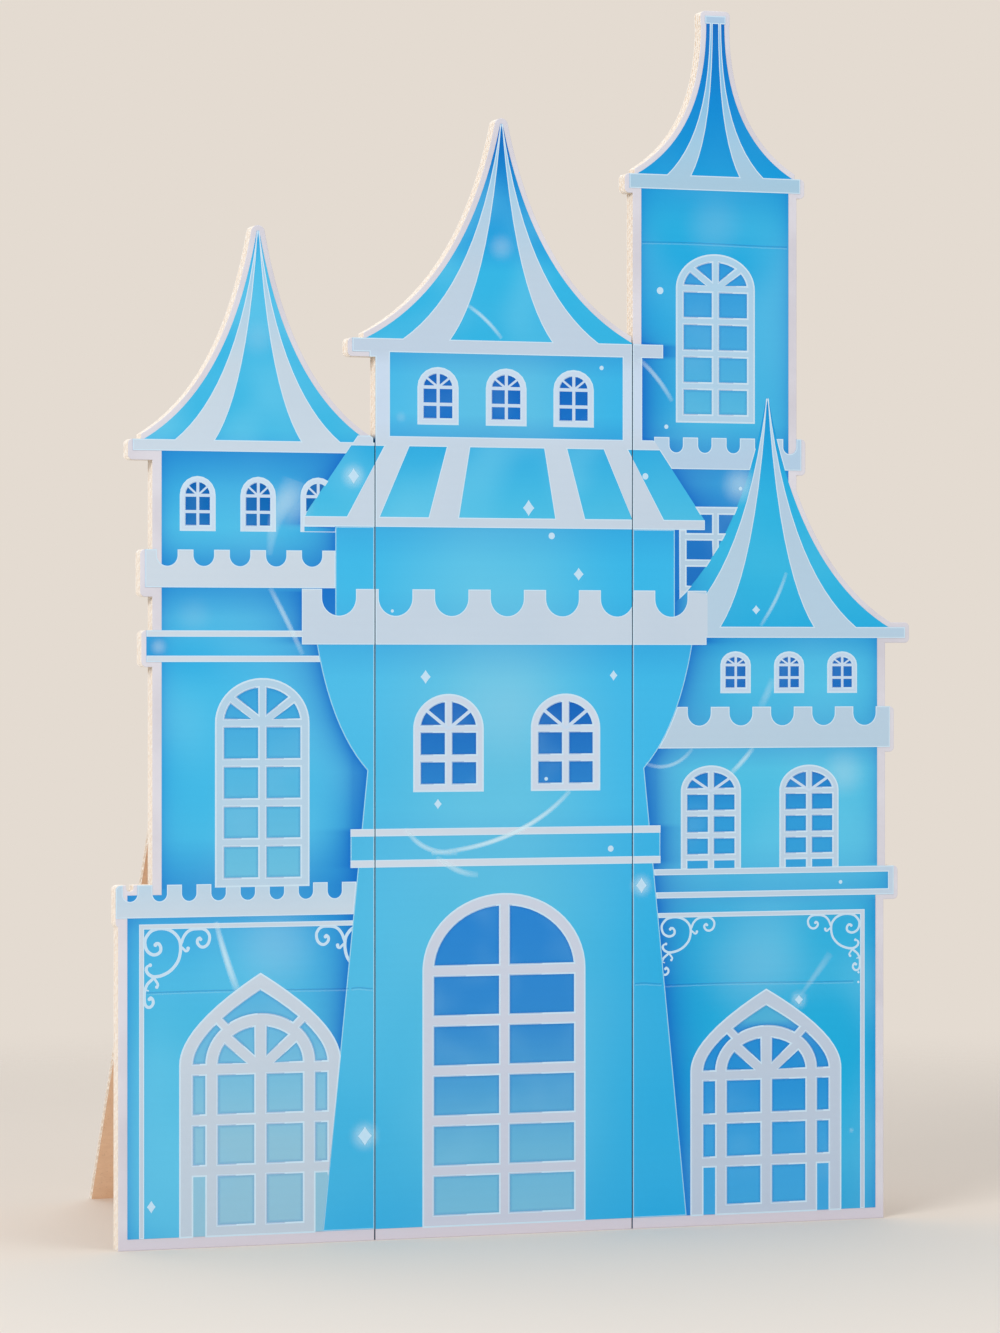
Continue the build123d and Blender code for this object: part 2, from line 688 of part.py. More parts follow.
# Print of the two side boards: the wing, then the part of the central tower that crosses the seam.
# Ground comes first, trim and glass lie on it, and the window frames lie on the glass.
prints = {}
for side, outline, ground, roofs, white, ornament, frames, openings in (
        ("left", left_outline, left_ground, left_roof, left_stripes, left_ornament, left_frames, left_glass),
        ("right", right_outline, right_ground, right_roof, right_stripes, right_ornament, right_frames,
         right_glass)):
    with BuildSketch() as roof_field:
        add(roofs.sketch)
        add(tower_face.sketch, mode=Mode.SUBTRACT)
        add(tower_roof.sketch)
        add(outline.sketch, mode=Mode.INTERSECT)
    with BuildSketch() as tower_field:
        add(tower_ground.sketch)
        add(outline.sketch, mode=Mode.INTERSECT)
    with BuildSketch() as wall_field:
        add(ground.sketch)
        add(outline.sketch, mode=Mode.INTERSECT)
        add(tower_face.sketch, mode=Mode.SUBTRACT)
    with BuildSketch() as trim_field:
        add(ornament.sketch)
        add(white.sketch)
        add(tower_face.sketch, mode=Mode.SUBTRACT)
        add(tower_trim.sketch)
        add(outline.sketch, mode=Mode.INTERSECT)
    with BuildSketch() as glass_field:
        add(openings.sketch)
        add(tower_face.sketch, mode=Mode.SUBTRACT)
        add(trim_field.sketch, mode=Mode.SUBTRACT)
    with BuildSketch() as frame_field:
        add(frames.sketch)
        add(tower_face.sketch, mode=Mode.SUBTRACT)
    prints[f"{side}_roof_print"] = ((roof_field, 0),)
    prints[f"{side}_tower_print"] = ((tower_field, 0),)
    prints[f"{side}_wall_print"] = ((wall_field, 0),)
    prints[f"{side}_trim_print"] = ((trim_field, 1), (frame_field, 2))
    prints[f"{side}_glass_print"] = ((glass_field, 1),)

# Print of the centre board: the middle of the central tower
centre_fields = []
for art in (tower_ground, tower_roof, tower_trim):
    with BuildSketch() as centre_field:
        add(art.sketch)
        add(centre_outline.sketch, mode=Mode.INTERSECT)
    centre_fields.append(centre_field)
prints["centre_wall_print"] = ((centre_fields[0], 0),)
prints["centre_roof_print"] = ((centre_fields[1], 0),)
prints["centre_trim_print"] = ((centre_fields[2], 1), (tower_frames, 2))
prints["centre_glass_print"] = ((tower_glass, 1),)

for name, fields in prints.items():
    with BuildPart() as ink:
        for field, layer in fields:
            with BuildSketch(front.offset(layer * ink_thickness)):
                add(field.sketch)
            extrude(amount=ink_thickness)
    ink.part.label = name
    export_step(ink.part, f"parts/{name}.step")

# Paper tapes that bridge the seams on the back
for name, seam, top in (("left_hinge_tape", -seam_x, left_eave_z),
                        ("right_hinge_tape", seam_x, centre_eave_z)):
    with BuildPart() as tape:
        with BuildSketch(Plane.XZ.offset(-back_y)):
            block(seam - tape_width / 2, seam + tape_width / 2, tape_inset, top - tape_inset)
        extrude(amount=-tape_thickness)
    tape.part.label = name
    export_step(tape.part, f"parts/{name}.step")

# Easel legs, each a sheet with a glued flap over the fold, and the strap that ties it to the board
for side, middle in (("left", -leg_x), ("right", leg_x)):
    with BuildPart() as leg:
        with BuildSketch(Plane.YZ.offset(middle - leg_width / 2)):
            with BuildLine():
                fold_z = leg_fold_z + leg_thickness * (slant - 1) / tan(lean)
                flap_z = leg_fold_z + flap_height
                Polyline((back_y, flap_z), (back_y, leg_fold_z), (leg_face(0), 0),
                         (leg_face(0) + leg_thickness * slant, 0), (back_y + leg_thickness, fold_z),
                         (back_y + leg_thickness, flap_z), close=True)
            make_face()
        extrude(amount=leg_width)
    leg.part.label = f"{side}_easel_leg"
    export_step(leg.part, f"parts/{side}_easel_leg.step")

    with BuildPart() as strap:
        with BuildSketch(Plane.YZ.offset(middle - strap_width / 2)):
            with BuildLine():
                top_z = strap_z + strap_thickness
                tab_z = strap_z + strap_tab
                inset = strap_thickness * slant
                Polyline((back_y, tab_z), (back_y, strap_z), (leg_face(strap_z), strap_z),
                         (leg_face(tab_z), tab_z), (leg_face(tab_z) - inset, tab_z),
                         (leg_face(top_z) - inset, top_z), (back_y + strap_thickness, top_z),
                         (back_y + strap_thickness, tab_z), close=True)
            make_face()
        extrude(amount=strap_width)
    strap.part.label = f"{side}_leg_strap"
    export_step(strap.part, f"parts/{side}_leg_strap.step")
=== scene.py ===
from math import comb, pi, radians

import bpy
import numpy as np
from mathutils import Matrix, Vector


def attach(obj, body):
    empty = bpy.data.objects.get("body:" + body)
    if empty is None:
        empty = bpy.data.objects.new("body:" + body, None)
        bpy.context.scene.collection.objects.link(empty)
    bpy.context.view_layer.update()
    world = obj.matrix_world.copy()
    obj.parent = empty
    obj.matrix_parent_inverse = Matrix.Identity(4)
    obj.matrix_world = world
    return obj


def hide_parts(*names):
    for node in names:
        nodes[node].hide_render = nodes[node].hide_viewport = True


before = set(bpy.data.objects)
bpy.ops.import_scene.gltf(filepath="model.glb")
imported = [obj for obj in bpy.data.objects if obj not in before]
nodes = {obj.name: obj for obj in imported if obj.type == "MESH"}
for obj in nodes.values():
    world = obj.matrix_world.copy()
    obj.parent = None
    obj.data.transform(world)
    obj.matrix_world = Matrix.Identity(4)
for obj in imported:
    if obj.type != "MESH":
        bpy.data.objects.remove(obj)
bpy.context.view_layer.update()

# A printed cardboard castle on a plain floor. Lengths are in millimetres unless a line says otherwise.
METRE = 1000.0

# The board and its print, whose layers step towards the viewer along -Y
board_front = -7.0
board_back = 7.0
ink = 0.2
ground_y = board_front - ink
trim_y = ground_y - ink
frame_y = trim_y - ink
lift = 0.05  # keeps what is drawn on a field clear of it

# Corrugated card: a board has three layers of flutes, and a leg or a strap has one. Shares are of one layer.
board_layers = 3
flute_pitch = 7.6
flute_turn = 2 * pi / flute_pitch  # of the wave, for each millimetre
flute_shift = 2.1  # of the wave, from one layer to the next
flute_depth = 1.3
leg_flute_depth = 2.0
strap_flute_depth = 0.8
liner = 0.7
liner_share = 0.1
liner_rise = 0.04  # from a liner down into the open flute
medium_share = 0.1
medium_swing = 0.3  # of the medium, to each side of its layer's middle
edge_shares = (0.1, 0.14, 0.24, 0.34, 0.44, 0.56, 0.66, 0.76, 0.86, 0.9)
edge_step = 1.8  # along an edge, from one ring of points to the next
corner_gap = 0.3  # such a step is left out this close to a corner,
end_gap = 0.5  # or to the end of the loop
rim_behind = np.array((0.0, 0.12, 0.3))  # a board's rounded rim, back from its face
rim_inset = np.array((0.5, 0.14, 0.0))  # and in from its outline
fold_ease = 2.5  # half the length of a fold's curve
fold_ease_end = 4.0  # from a sheet's end to where folds are eased in full

# Seams between the boards: their distance from the middle, and how high each runs
seam_x = 111.0
left_seam_top = 648.0
right_seam_top = 728.0

# Easel legs and their straps
leg_x = 199.0
leg_width = 100.0
leg_thickness = 7.0
leg_fold_z = 606.0
leg_reach = 345.0
flap_height = 58.0
strap_width = 60.0
strap_thickness = 3.0
strap_z = 96.0
strap_tab = 45.0

# The central tower's half width about its axis, at heights from the floor to its spire
tower_axis = 2.0
tower_edge = ((0, 157.9), (298.5, 127.6), (299, 133.7), (330, 133.7), (330.5, 124.2), (377, 119.5),
              (395.7, 133.6), (418.8, 145.4), (446.2, 154.8), (477.5, 162), (478, 174.5), (522, 174.5),
              (522.5, 146.5), (572, 146.5), (572.5, 173), (580, 173), (645, 127.5), (645.5, 117.5),
              (713, 117.5), (713.5, 136), (724, 136), (724.5, 115.5), (760, 66), (810, 28), (900, 2))
widest = 200.0  # more than any half width, for the ramps that hold them
nook_x = 148.5  # where the tower's wall meets the wing's roof

# How far the printed shade reaches from the tower, from a wall's edge and in the nook
tower_shade = 17.0
wall_shade = 7.0
nook_shade = 16.0

# Pale lines inside the edges of the bands, the window frames and the tower, and shade inside the panes
band_line = 0.8
frame_line = 0.55
line_over = 0.02  # past the edge
tower_line_near = 0.1
tower_line_far = 0.9
tower_line_strength = 0.45
pane_shade_reach = 3.2
pane_shade_strength = 0.36

boards = ("left", "centre", "right")


def srgb(red, green, blue):
    """A colour as the eye reads it, from 0 to 255, made linear."""
    share = np.array((red, green, blue)) / 255
    linear = np.where(share <= 0.04045, share / 12.92, ((share + 0.055) / 1.055) ** 2.4)
    return (*linear.tolist(), 1.0)


class Tone:
    """A socket of a material's nodes. Arithmetic on values adds Math nodes."""

    def __init__(self, tree, socket=None):
        self.tree = tree
        self.socket = socket

    def node(self, kind, sockets=None, output=0, stops=(), **settings):
        """Adds a node: its settings and a ramp's stops first, then the values or links of its sockets."""
        made = self.tree.nodes.new(kind)
        for key, value in settings.items():
            setattr(made, key, value)
        if stops:
            ramp = made.color_ramp
            for spare in range(len(stops) - 2):
                ramp.elements.new((spare + 1) / len(stops))
            for element, (position, colour) in zip(ramp.elements, stops):
                element.position = position
                element.color = colour
        for key, value in (sockets or {}).items():
            if isinstance(value, Tone):
                self.tree.links.new(value.socket, made.inputs[key])
            else:
                made.inputs[key].default_value = value
        return Tone(self.tree, made.outputs[output])

    def math(self, operation, *values):
        """Adds a Math node."""
        return self.node("ShaderNodeMath", dict(enumerate(values)), operation=operation)

    def __add__(self, other):
        return self.math("ADD", self, other)

    def __sub__(self, other):
        return self.math("SUBTRACT", self, other)

    def __rsub__(self, other):
        return self.math("SUBTRACT", other, self)

    def __mul__(self, other):
        return self.math("MULTIPLY", self, other)

    def __truediv__(self, other):
        return self.math("DIVIDE", self, other)

    def __abs__(self):
        return self.math("ABSOLUTE", self)

    def __neg__(self):
        return self.math("MULTIPLY", self, -1.0)

    __radd__ = __add__
    __rmul__ = __mul__

    def fade(self, reach):
        """1 where the value is nil or less, falling off to nothing over a few times the reach."""
        return self.math("EXPONENT", -(self.math("MAXIMUM", self, 0.0) / reach))

    def step(self, low, high):
        """A smooth rise from 0 to 1 between two values."""
        return self.node("ShaderNodeMapRange", {0: self, 1: low, 2: high}, interpolation_type="SMOOTHSTEP")

    def profile(self, points, full):
        """A value read off straight lines between points, for heights up to a metre and values up to full."""
        stops = [(z / METRE, (value / full, value / full, value / full, 1.0)) for z, value in points]
        return self.node("ShaderNodeValToRGB", {0: self / METRE}, stops=stops) * full

    def colours(self, points):
        """A colour read off a row of colours at heights up to a metre."""
        return self.node("ShaderNodeValToRGB", {0: self / METRE}, stops=[(z / METRE, c) for z, c in points])

    def mix(self, first, second):
        """The first colour where the value is 0 and the second where it is 1."""
        return self.node("ShaderNodeMix", {0: self, 6: first, 7: second}, output=2, data_type="RGBA")


class Finish:
    """A material: its shader, and the place on the castle in millimetres."""

    def __init__(self, name, roughness=0.5, specular=0.06):
        self.material = bpy.data.materials.new(name)
        self.material.use_nodes = True
        self.tree = self.material.node_tree
        self.shader = self.tree.nodes["Principled BSDF"]
        self.shader.inputs["Roughness"].default_value = roughness
        self.shader.inputs["Specular IOR Level"].default_value = specular
        self.start = Tone(self.tree)
        self.place = self.start.node("ShaderNodeTexCoord", output=3)
        parts = self.start.node("ShaderNodeSeparateXYZ", {0: self.place}).socket.node.outputs
        self.x, self.z = [Tone(self.tree, part) * METRE for part in (parts[0], parts[2])]

    def plug(self, name, tone):
        """Links a tone to one of the shader's sockets, or sets a value on it."""
        if isinstance(tone, Tone):
            self.tree.links.new(tone.socket, self.shader.inputs[name])
        else:
            self.shader.inputs[name].default_value = tone

    def noise(self, scale, detail=2.0, stretch=(1, 1, 1)):
        """Noise between 0 and 1, with about so many spots to the metre, drawn out along the axes."""
        place = self.start.node("ShaderNodeMapping", {0: self.place, 3: stretch})
        return self.start.node("ShaderNodeTexNoise", {"Vector": place, "Scale": scale, "Detail": detail})

    def from_tower(self):
        """How far a point lies outside the central tower's edge."""
        return abs(self.x - tower_axis) - self.z.profile(tower_edge, widest)

    def on_tower(self):
        """1 on the central tower and 0 beside it."""
        return self.start.math("LESS_THAN", self.from_tower(), 1.0)

    def veil(self):
        """The piece's own value for how deep or how thick a point is."""
        return self.start.node("ShaderNodeAttribute", output=2, attribute_name="veil")

    def bump(self, height, strength):
        """Dents and ridges of up to half a millimetre."""
        bump = self.start.node("ShaderNodeBump", {"Height": height, "Strength": strength, "Distance": 0.0005})
        self.plug("Normal", bump)

    def washboard(self):
        """The faint level ridges that the flutes print through to the face of the card, with its fibres."""
        wave = self.start.math("SINE", self.z * flute_turn)
        self.bump(wave * 0.4 + self.noise(900.0, 3.0) * 0.5, 0.08)
        self.plug("Roughness", self.noise(25.0, 2.0) * 0.16 + 0.36)


def wing_ink(name, walls, tones, shade):
    """Wall of a wing: its tone changes with height, and it is dark beside the central tower, under the eaves
    and bands, and along its own edges, which lie half its width from its axis."""
    f = Finish(name)
    beside = f.from_tower().fade(tower_shade)
    under = f.z.profile(shade, 1.0)
    half = f.z.profile([(z, width) for z, axis, width in walls], widest)
    shift = widest * 2  # keeps a place left of the middle above nil on the ramp
    axis = f.z.profile([(z, axis + shift) for z, axis, width in walls], shift * 2) - shift
    edge = (half - abs(f.x - axis)).fade(wall_shade) * 0.4
    dark = 1 - (1 - beside * 0.85) * (1 - under) * (1 - edge)
    cloud = f.noise(9.0, 1.0).step(0.3, 0.7)
    light = (cloud * 0.45).mix(f.z.colours(tones), wall_pale)
    f.plug("Base Color", dark.mix(light, wall_dark))
    f.washboard()
    return f.material


def tower_ink(name):
    """Wall of the central tower: palest up its middle, deeper to the right, at its foot and under its bands."""
    f = Finish(name)
    aside = abs(f.x + 8.0).step(10.0, 120.0) * (f.z.step(300.0, 420.0) * 0.17 + 0.28)
    foot = 1 - f.z.step(0.0, 60.0)
    right = f.x.step(20.0, 140.0) * (1 - f.z.step(180.0, 520.0) * 0.5)
    under = f.z.profile(((0, 0.05), (9, 0.04), (60, 0), (250, 0), (298, 0.06), (330, 0.08), (345, 0), (450, 0),
                         (478, 0.22), (523, 0.0), (545, 0.02), (572, 0.22), (646, 0.3), (664, 0.02), (695, 0.04),
                         (713, 0.3), (724, 0)), 1.0)
    pale = (f.noise(7.0, 1.0).step(0.3, 0.7) * 0.4).mix(
        f.z.colours(((0, srgb(74, 180, 224)), (120, srgb(76, 184, 225)), (300, srgb(86, 188, 225)),
                     (430, srgb(100, 193, 227)), (480, srgb(88, 189, 227)), (560, srgb(80, 190, 230)),
                     (650, srgb(84, 187, 228)), (720, srgb(80, 184, 226)))), wall_pale)
    deep = f.z.step(150.0, 400.0).mix(tower_deep, tower_bright)
    side = (1 - (1 - aside) * (1 - right * 0.6) * (1 - foot * 0.25)).mix(pale, deep)
    f.plug("Base Color", under.mix(side, wall_dark))
    f.washboard()
    return f.material


def roof_ink(name, tones, tower_tones, cloudy, nook=0.0):
    """Blue of the roofs and the awning, deeper at the tips and along the foot, with pale patches between. The
    part of the central tower on the same board has tones of its own, and the nook between the tower and the wing
    is dark."""
    f = Finish(name)
    patch = f.noise(13.0, 1.0).step(0.4, 0.75) * cloudy
    tone = f.on_tower().mix(f.z.colours(tones), f.z.colours(tower_tones))
    dark = (f.x - nook_x).fade(nook_shade) * (1 - f.z.step(528.0, 560.0)) * nook
    f.plug("Base Color", dark.mix(patch.mix(tone, wall_pale), wall_dark))
    f.washboard()
    return f.material


def trim_ink(name, tones, tower_tones):
    """Pale trim of the print, whose tone changes with height, a little greyer in patches. The part of the
    central tower on the same board has tones of its own."""
    f = Finish(name)
    tone = f.on_tower().mix(f.z.colours(tones), f.z.colours(tower_tones))
    f.plug("Base Color", (f.noise(9.0, 2.0).step(0.3, 0.7) * 0.22).mix(tone, srgb(180, 200, 220)))
    f.washboard()
    return f.material


def glass_ink(name, rows):
    """Window glass, whose colour changes with height, with soft pale clouds."""
    f = Finish(name)
    cloud = f.noise(22.0, 1.0).step(0.45, 0.8) * 0.16
    f.plug("Base Color", cloud.mix(f.z.colours(rows), srgb(130, 195, 230)))
    f.washboard()
    return f.material


def plain_ink(name, colour, other):
    """Ink of one tone with a faint cloud of another in it."""
    f = Finish(name, roughness=0.42)
    f.plug("Base Color", (f.noise(60.0, 2.0) * 0.3).mix(colour, other))
    return f.material


def veil_ink(name, colour):
    """Ink that lets the print under it show, as much as the piece's own veil value says; on the creases, painted
    shade and highlight.
    """
    f = Finish(name, roughness=0.42, specular=0.1)
    f.plug("Base Color", colour)
    f.plug("Alpha", f.veil())
    return f.material


# Inks, as the eye reads them
wall_pale = srgb(112, 204, 236)
wall_dark = srgb(14, 105, 198)
tower_deep = srgb(20, 167, 225)
tower_bright = srgb(18, 177, 235)

left_wall = wing_ink("left_wall_ink", ((0, -209, 107.5), (283, -209, 107.5), (285, -209, 79.5), (640, -209, 79.5)), (
    (0, srgb(60, 172, 220)), (60, srgb(76, 182, 224)), (180, srgb(74, 184, 226)), (262, srgb(56, 172, 226)),
    (330, srgb(66, 184, 230)), (464, srgb(50, 180, 230)), (498, srgb(78, 190, 232)), (523, srgb(46, 172, 226)),
    (560, srgb(72, 190, 232)), (631, srgb(52, 168, 224))),
    ((0, 0.1), (20, 0), (225, 0), (250, 0.12), (262, 0.35), (284, 0.5), (296, 0.36), (325, 0.02), (440, 0),
     (464, 0.12), (489, 0.12), (500, 0.16), (523, 0.46), (540, 0.55), (553, 0.3), (572, 0.02), (602, 0.1),
     (631, 0.5)))
right_wall = wing_ink("right_wall_ink", (
    (0, 231, 98), (268, 231, 98), (270, 231, 111), (294, 231, 111), (296, 231, 99.5), (484, 231, 99.5),
    (600, 184.5, 65.5), (900, 184.5, 65.5)), (
    (0, srgb(28, 162, 216)), (100, srgb(24, 171, 222)), (250, srgb(42, 174, 222)), (300, srgb(62, 184, 226)),
    (390, srgb(84, 194, 230)), (430, srgb(66, 187, 229)), (490, srgb(50, 180, 227)), (600, srgb(24, 160, 222)),
    (660, srgb(36, 174, 225)), (760, srgb(24, 166, 224)), (830, srgb(40, 174, 224)), (860, srgb(30, 166, 222))),
    ((0, 0.15), (9, 0.1), (60, 0), (235, 0), (262, 0.15), (270, 0.25), (294, 0.12), (315, 0), (375, 0.0),
     (393, 0.3), (410, 0.3), (427, 0.12), (445, 0), (465, 0.05), (484, 0.35), (590, 0.55), (610, 0.3), (623, 0.5),
     (640, 0.35), (660, 0.05), (820, 0.0), (852, 0.2)))
tower_wall = tower_ink("tower_wall_ink")
tower_roof_tones = (
    (572, srgb(80, 190, 228)), (600, srgb(66, 184, 228)), (640, srgb(46, 170, 224)), (648, srgb(56, 180, 226)),
    (690, srgb(66, 184, 228)), (720, srgb(50, 178, 226)), (780, srgb(50, 180, 228)), (800, srgb(38, 162, 222)),
    (840, srgb(26, 148, 216)), (880, srgb(10, 116, 198)), (905, srgb(8, 100, 184)))
roof_blue = roof_ink("roof_ink", tower_roof_tones, tower_roof_tones, 0.5)
right_roof_blue = roof_ink("right_roof_ink", (
    (490, srgb(38, 172, 224)), (540, srgb(52, 182, 226)), (600, srgb(44, 178, 226)), (650, srgb(18, 158, 220)),
    (690, srgb(8, 134, 206)), (860, srgb(20, 156, 220)), (880, srgb(12, 148, 216)), (930, srgb(10, 136, 212)),
    (990, srgb(6, 106, 194))), tower_roof_tones, 0.08, nook=0.92)
tower_trim_tones = (
    (9, srgb(198, 203, 219)), (280, srgb(204, 211, 226)), (300, srgb(206, 217, 230)), (336, srgb(206, 217, 230)),
    (360, srgb(204, 216, 232)), (440, srgb(204, 216, 232)), (478, srgb(196, 211, 226)), (560, srgb(196, 211, 226)),
    (640, srgb(198, 213, 228)), (658, srgb(200, 218, 238)), (702, srgb(200, 218, 238)), (714, srgb(190, 207, 225)),
    (780, srgb(188, 207, 224)), (840, srgb(170, 206, 230)), (895, srgb(120, 186, 228)))
centre_trim = trim_ink("centre_trim_ink", tower_trim_tones, tower_trim_tones)
left_trim = trim_ink("left_trim_ink", (
    (9, srgb(190, 204, 218)), (200, srgb(198, 210, 223)), (262, srgb(199, 214, 227)), (290, srgb(184, 210, 229)),
    (450, srgb(176, 208, 230)), (464, srgb(204, 216, 228)), (555, srgb(201, 214, 226)), (572, srgb(200, 219, 239)),
    (612, srgb(200, 219, 239)), (628, srgb(198, 213, 227)), (700, srgb(196, 212, 225)), (750, srgb(172, 208, 230)),
    (800, srgb(130, 194, 230))), tower_trim_tones)
right_trim = trim_ink("right_trim_ink", (
    (9, srgb(186, 199, 217)), (190, srgb(188, 203, 221)), (250, srgb(196, 211, 227)), (300, srgb(188, 210, 229)),
    (380, srgb(186, 210, 230)), (393, srgb(182, 206, 224)), (430, srgb(184, 207, 226)), (440, srgb(194, 215, 237)),
    (473, srgb(194, 215, 237)), (484, srgb(180, 206, 226)), (560, srgb(178, 205, 225)), (630, srgb(178, 205, 229)),
    (665, srgb(176, 210, 233)), (800, srgb(172, 208, 232)), (850, srgb(166, 199, 220)), (890, srgb(160, 202, 228)),
    (950, srgb(112, 186, 230)), (978, srgb(96, 178, 228)), (990, srgb(172, 200, 226))), tower_trim_tones)
left_glass = glass_ink("left_glass_ink", (
    (9, srgb(144, 192, 215)), (85, srgb(140, 193, 217)), (120, srgb(124, 190, 220)), (216, srgb(78, 176, 224)),
    (286, srgb(108, 190, 222)), (380, srgb(80, 180, 224)), (450, srgb(52, 158, 218)), (560, srgb(16, 112, 188)),
    (612, srgb(6, 96, 174))))
centre_glass = glass_ink("centre_glass_ink", (
    (9, srgb(120, 188, 218)), (70, srgb(104, 180, 217)), (120, srgb(76, 160, 214)), (175, srgb(48, 136, 208)),
    (276, srgb(38, 130, 210)), (358, srgb(44, 132, 206)), (437, srgb(16, 96, 186)), (656, srgb(20, 114, 200)),
    (702, srgb(10, 94, 184))))
right_glass = glass_ink("right_glass_ink", (
    (9, srgb(64, 166, 223)), (70, srgb(60, 161, 222)), (110, srgb(42, 148, 217)), (162, srgb(32, 138, 212)),
    (168, srgb(72, 174, 216)), (193, srgb(76, 178, 218)),
    (270, srgb(58, 164, 220)), (340, srgb(46, 154, 218)), (378, srgb(26, 118, 200)), (439, srgb(28, 112, 196)),
    (473, srgb(24, 104, 188)), (478, srgb(26, 104, 188)), (591, srgb(30, 120, 200)), (661, srgb(86, 184, 224)),
    (740, srgb(62, 164, 222)), (799, srgb(42, 150, 218))))
pale_line = plain_ink("pale_line_ink", srgb(205, 227, 241), srgb(190, 218, 237))
bar_print = plain_ink("bar_ink", srgb(198, 217, 237), srgb(184, 208, 232))
scroll_print = plain_ink("scroll_ink", srgb(196, 222, 240), srgb(178, 212, 238))
spark_print = plain_ink("sparkle_ink", srgb(188, 221, 242), srgb(200, 227, 244))
# Veils of printed shade and light, which also serve as painted shade and highlight along the creases
shadow_veil = veil_ink("shadow_ink", srgb(14, 84, 176))
light_veil = veil_ink("light_ink", srgb(206, 233, 244))


def white_finish(name):
    """White liner of a board's face, with faint stains and ridges, greyer at the floor."""
    f = Finish(name)
    stain = f.noise(18.0, 4.0).step(0.3, 0.75)
    face = stain.mix(srgb(219, 217, 225), srgb(206, 203, 212))
    f.plug("Base Color", f.z.step(6.0, 24.0).mix(srgb(209, 204, 215), face))
    f.washboard()
    return f.material


def edge_finish(name):
    """Raw edge of corrugated card: pale liners and medium, painted shade brown in the open flutes, dark in the
    seams.
    """
    f = Finish(name, roughness=0.85, specular=0.1)
    fibre = f.noise(260.0, 3.0, (1, 1, 2))
    pale = fibre.step(0.3, 0.75).mix(srgb(253, 249, 243), srgb(246, 238, 228))
    middle_top = (right_seam_top + left_seam_top) / 2
    top = f.start.math("SIGN", f.x) * (right_seam_top - middle_top) + middle_top
    # painted shade: edges that face each other across a seam between boards are dark blue, up to the seam's top
    seam_shade = (1 - abs(abs(f.x) - seam_x).step(1.9, 2.3)) * (top - f.z).step(0.0, 6.0)
    # painted shade: the edge turns brown as the open flute gets deeper
    flute_shaded_edge = f.veil().step(0.1, 0.95).mix(pale, srgb(230, 211, 188))
    f.plug("Base Color", seam_shade.mix(flute_shaded_edge, srgb(16, 96, 142)))
    f.bump(fibre, 0.3)
    return f.material


def kraft_finish(name, light, dark):
    """Brown liner with long level fibres and darker specks."""
    f = Finish(name, roughness=0.75, specular=0.2)
    fibre = f.noise(90.0, 4.0, (1, 1, 3))
    speck = f.noise(700.0, 2.0).step(0.62, 0.75) * 0.3
    f.plug("Base Color", speck.mix(fibre.step(0.25, 0.75).mix(light, dark), srgb(140, 100, 66)))
    wave = f.start.math("SINE", f.z * flute_turn)
    f.bump(f.noise(500.0, 3.0) + wave * 0.5, 0.12)
    return f.material


def tape_finish(name):
    """Gummed paper tape, smoother and redder than the board, with threads along it."""
    f = Finish(name, roughness=0.5)
    thread = f.start.math("SINE", f.x * 2.1)
    f.plug("Base Color", f.noise(70.0, 2.0).step(0.25, 0.75).mix(srgb(206, 160, 114), srgb(199, 152, 106)))
    f.bump(thread * 0.3 + f.noise(600.0, 2.0), 0.06)
    return f.material


white_card = white_finish("white_card")
raw_edge = edge_finish("raw_edge")
kraft = kraft_finish("kraft_card", srgb(247, 214, 183), srgb(241, 206, 174))
brown_card = kraft_finish("brown_card", srgb(208, 170, 133), srgb(199, 160, 122))
tape = tape_finish("paper_tape")

looks = {
    "left_panel": white_card, "centre_panel": white_card, "right_panel": white_card,
    "left_easel_leg": kraft, "right_easel_leg": kraft, "left_leg_strap": kraft, "right_leg_strap": kraft,
    "left_hinge_tape": tape, "right_hinge_tape": tape,
    "left_wall_print": left_wall, "right_wall_print": right_wall, "centre_wall_print": tower_wall,
    "left_tower_print": tower_wall, "right_tower_print": tower_wall,
    "left_roof_print": roof_blue, "centre_roof_print": roof_blue, "right_roof_print": right_roof_blue,
    "left_trim_print": left_trim, "centre_trim_print": centre_trim, "right_trim_print": right_trim,
    "left_glass_print": left_glass, "centre_glass_print": centre_glass, "right_glass_print": right_glass,
}
for node, material in looks.items():
    mesh = nodes[node].data
    mesh.materials.clear()
    mesh.materials.append(material)


def placed(name, data):
    """A new object in the scene, at the origin."""
    made = bpy.data.objects.new(name, data)
    bpy.context.scene.collection.objects.link(made)
    return made


def piece(name, points, faces, slot, *materials, veil=None, finish=None):
    """A new piece from points in millimetres and rows of indices, one array for each kind of face."""
    mesh = bpy.data.meshes.new(name)
    mesh.from_pydata((points / METRE).tolist(), [], [row for kind in faces for row in kind.tolist()])
    if veil is not None:
        layer = mesh.attributes.new("veil", "FLOAT", "POINT")
        layer.data.foreach_set("value", np.asarray(veil, np.float32))
    for material in materials:
        mesh.materials.append(material)
    if finish is not None:
        mesh.polygons.foreach_set("material_index", np.asarray(finish, np.int32))
    made = placed(name, mesh)
    if slot not in ("board", "kraft"):  # print throws no shadow on what it is printed on
        made.visible_shadow = False
        made.visible_diffuse = False
    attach(made, "root")
    return made


def grid_faces(rows, columns, wrap=False):
    """Quads of a grid of points laid row by row, whose columns close on themselves if wrapped."""
    ids = np.arange(rows * columns).reshape(rows, columns)
    if wrap:
        ids = np.concatenate((ids, ids[:, :1]), 1)
    return np.stack((ids[:-1, :-1], ids[:-1, 1:], ids[1:, 1:], ids[1:, :-1]), -1).reshape(-1, 4)


def joined(parts):
    """Several parts of points, quads and veils, put end to end as one."""
    starts = np.cumsum([0] + [len(part[0]) for part in parts[:-1]])
    points = np.concatenate([part[0] for part in parts])
    faces = np.concatenate([part[1] + start for part, start in zip(parts, starts)])
    return points, faces, np.concatenate([part[2] for part in parts])


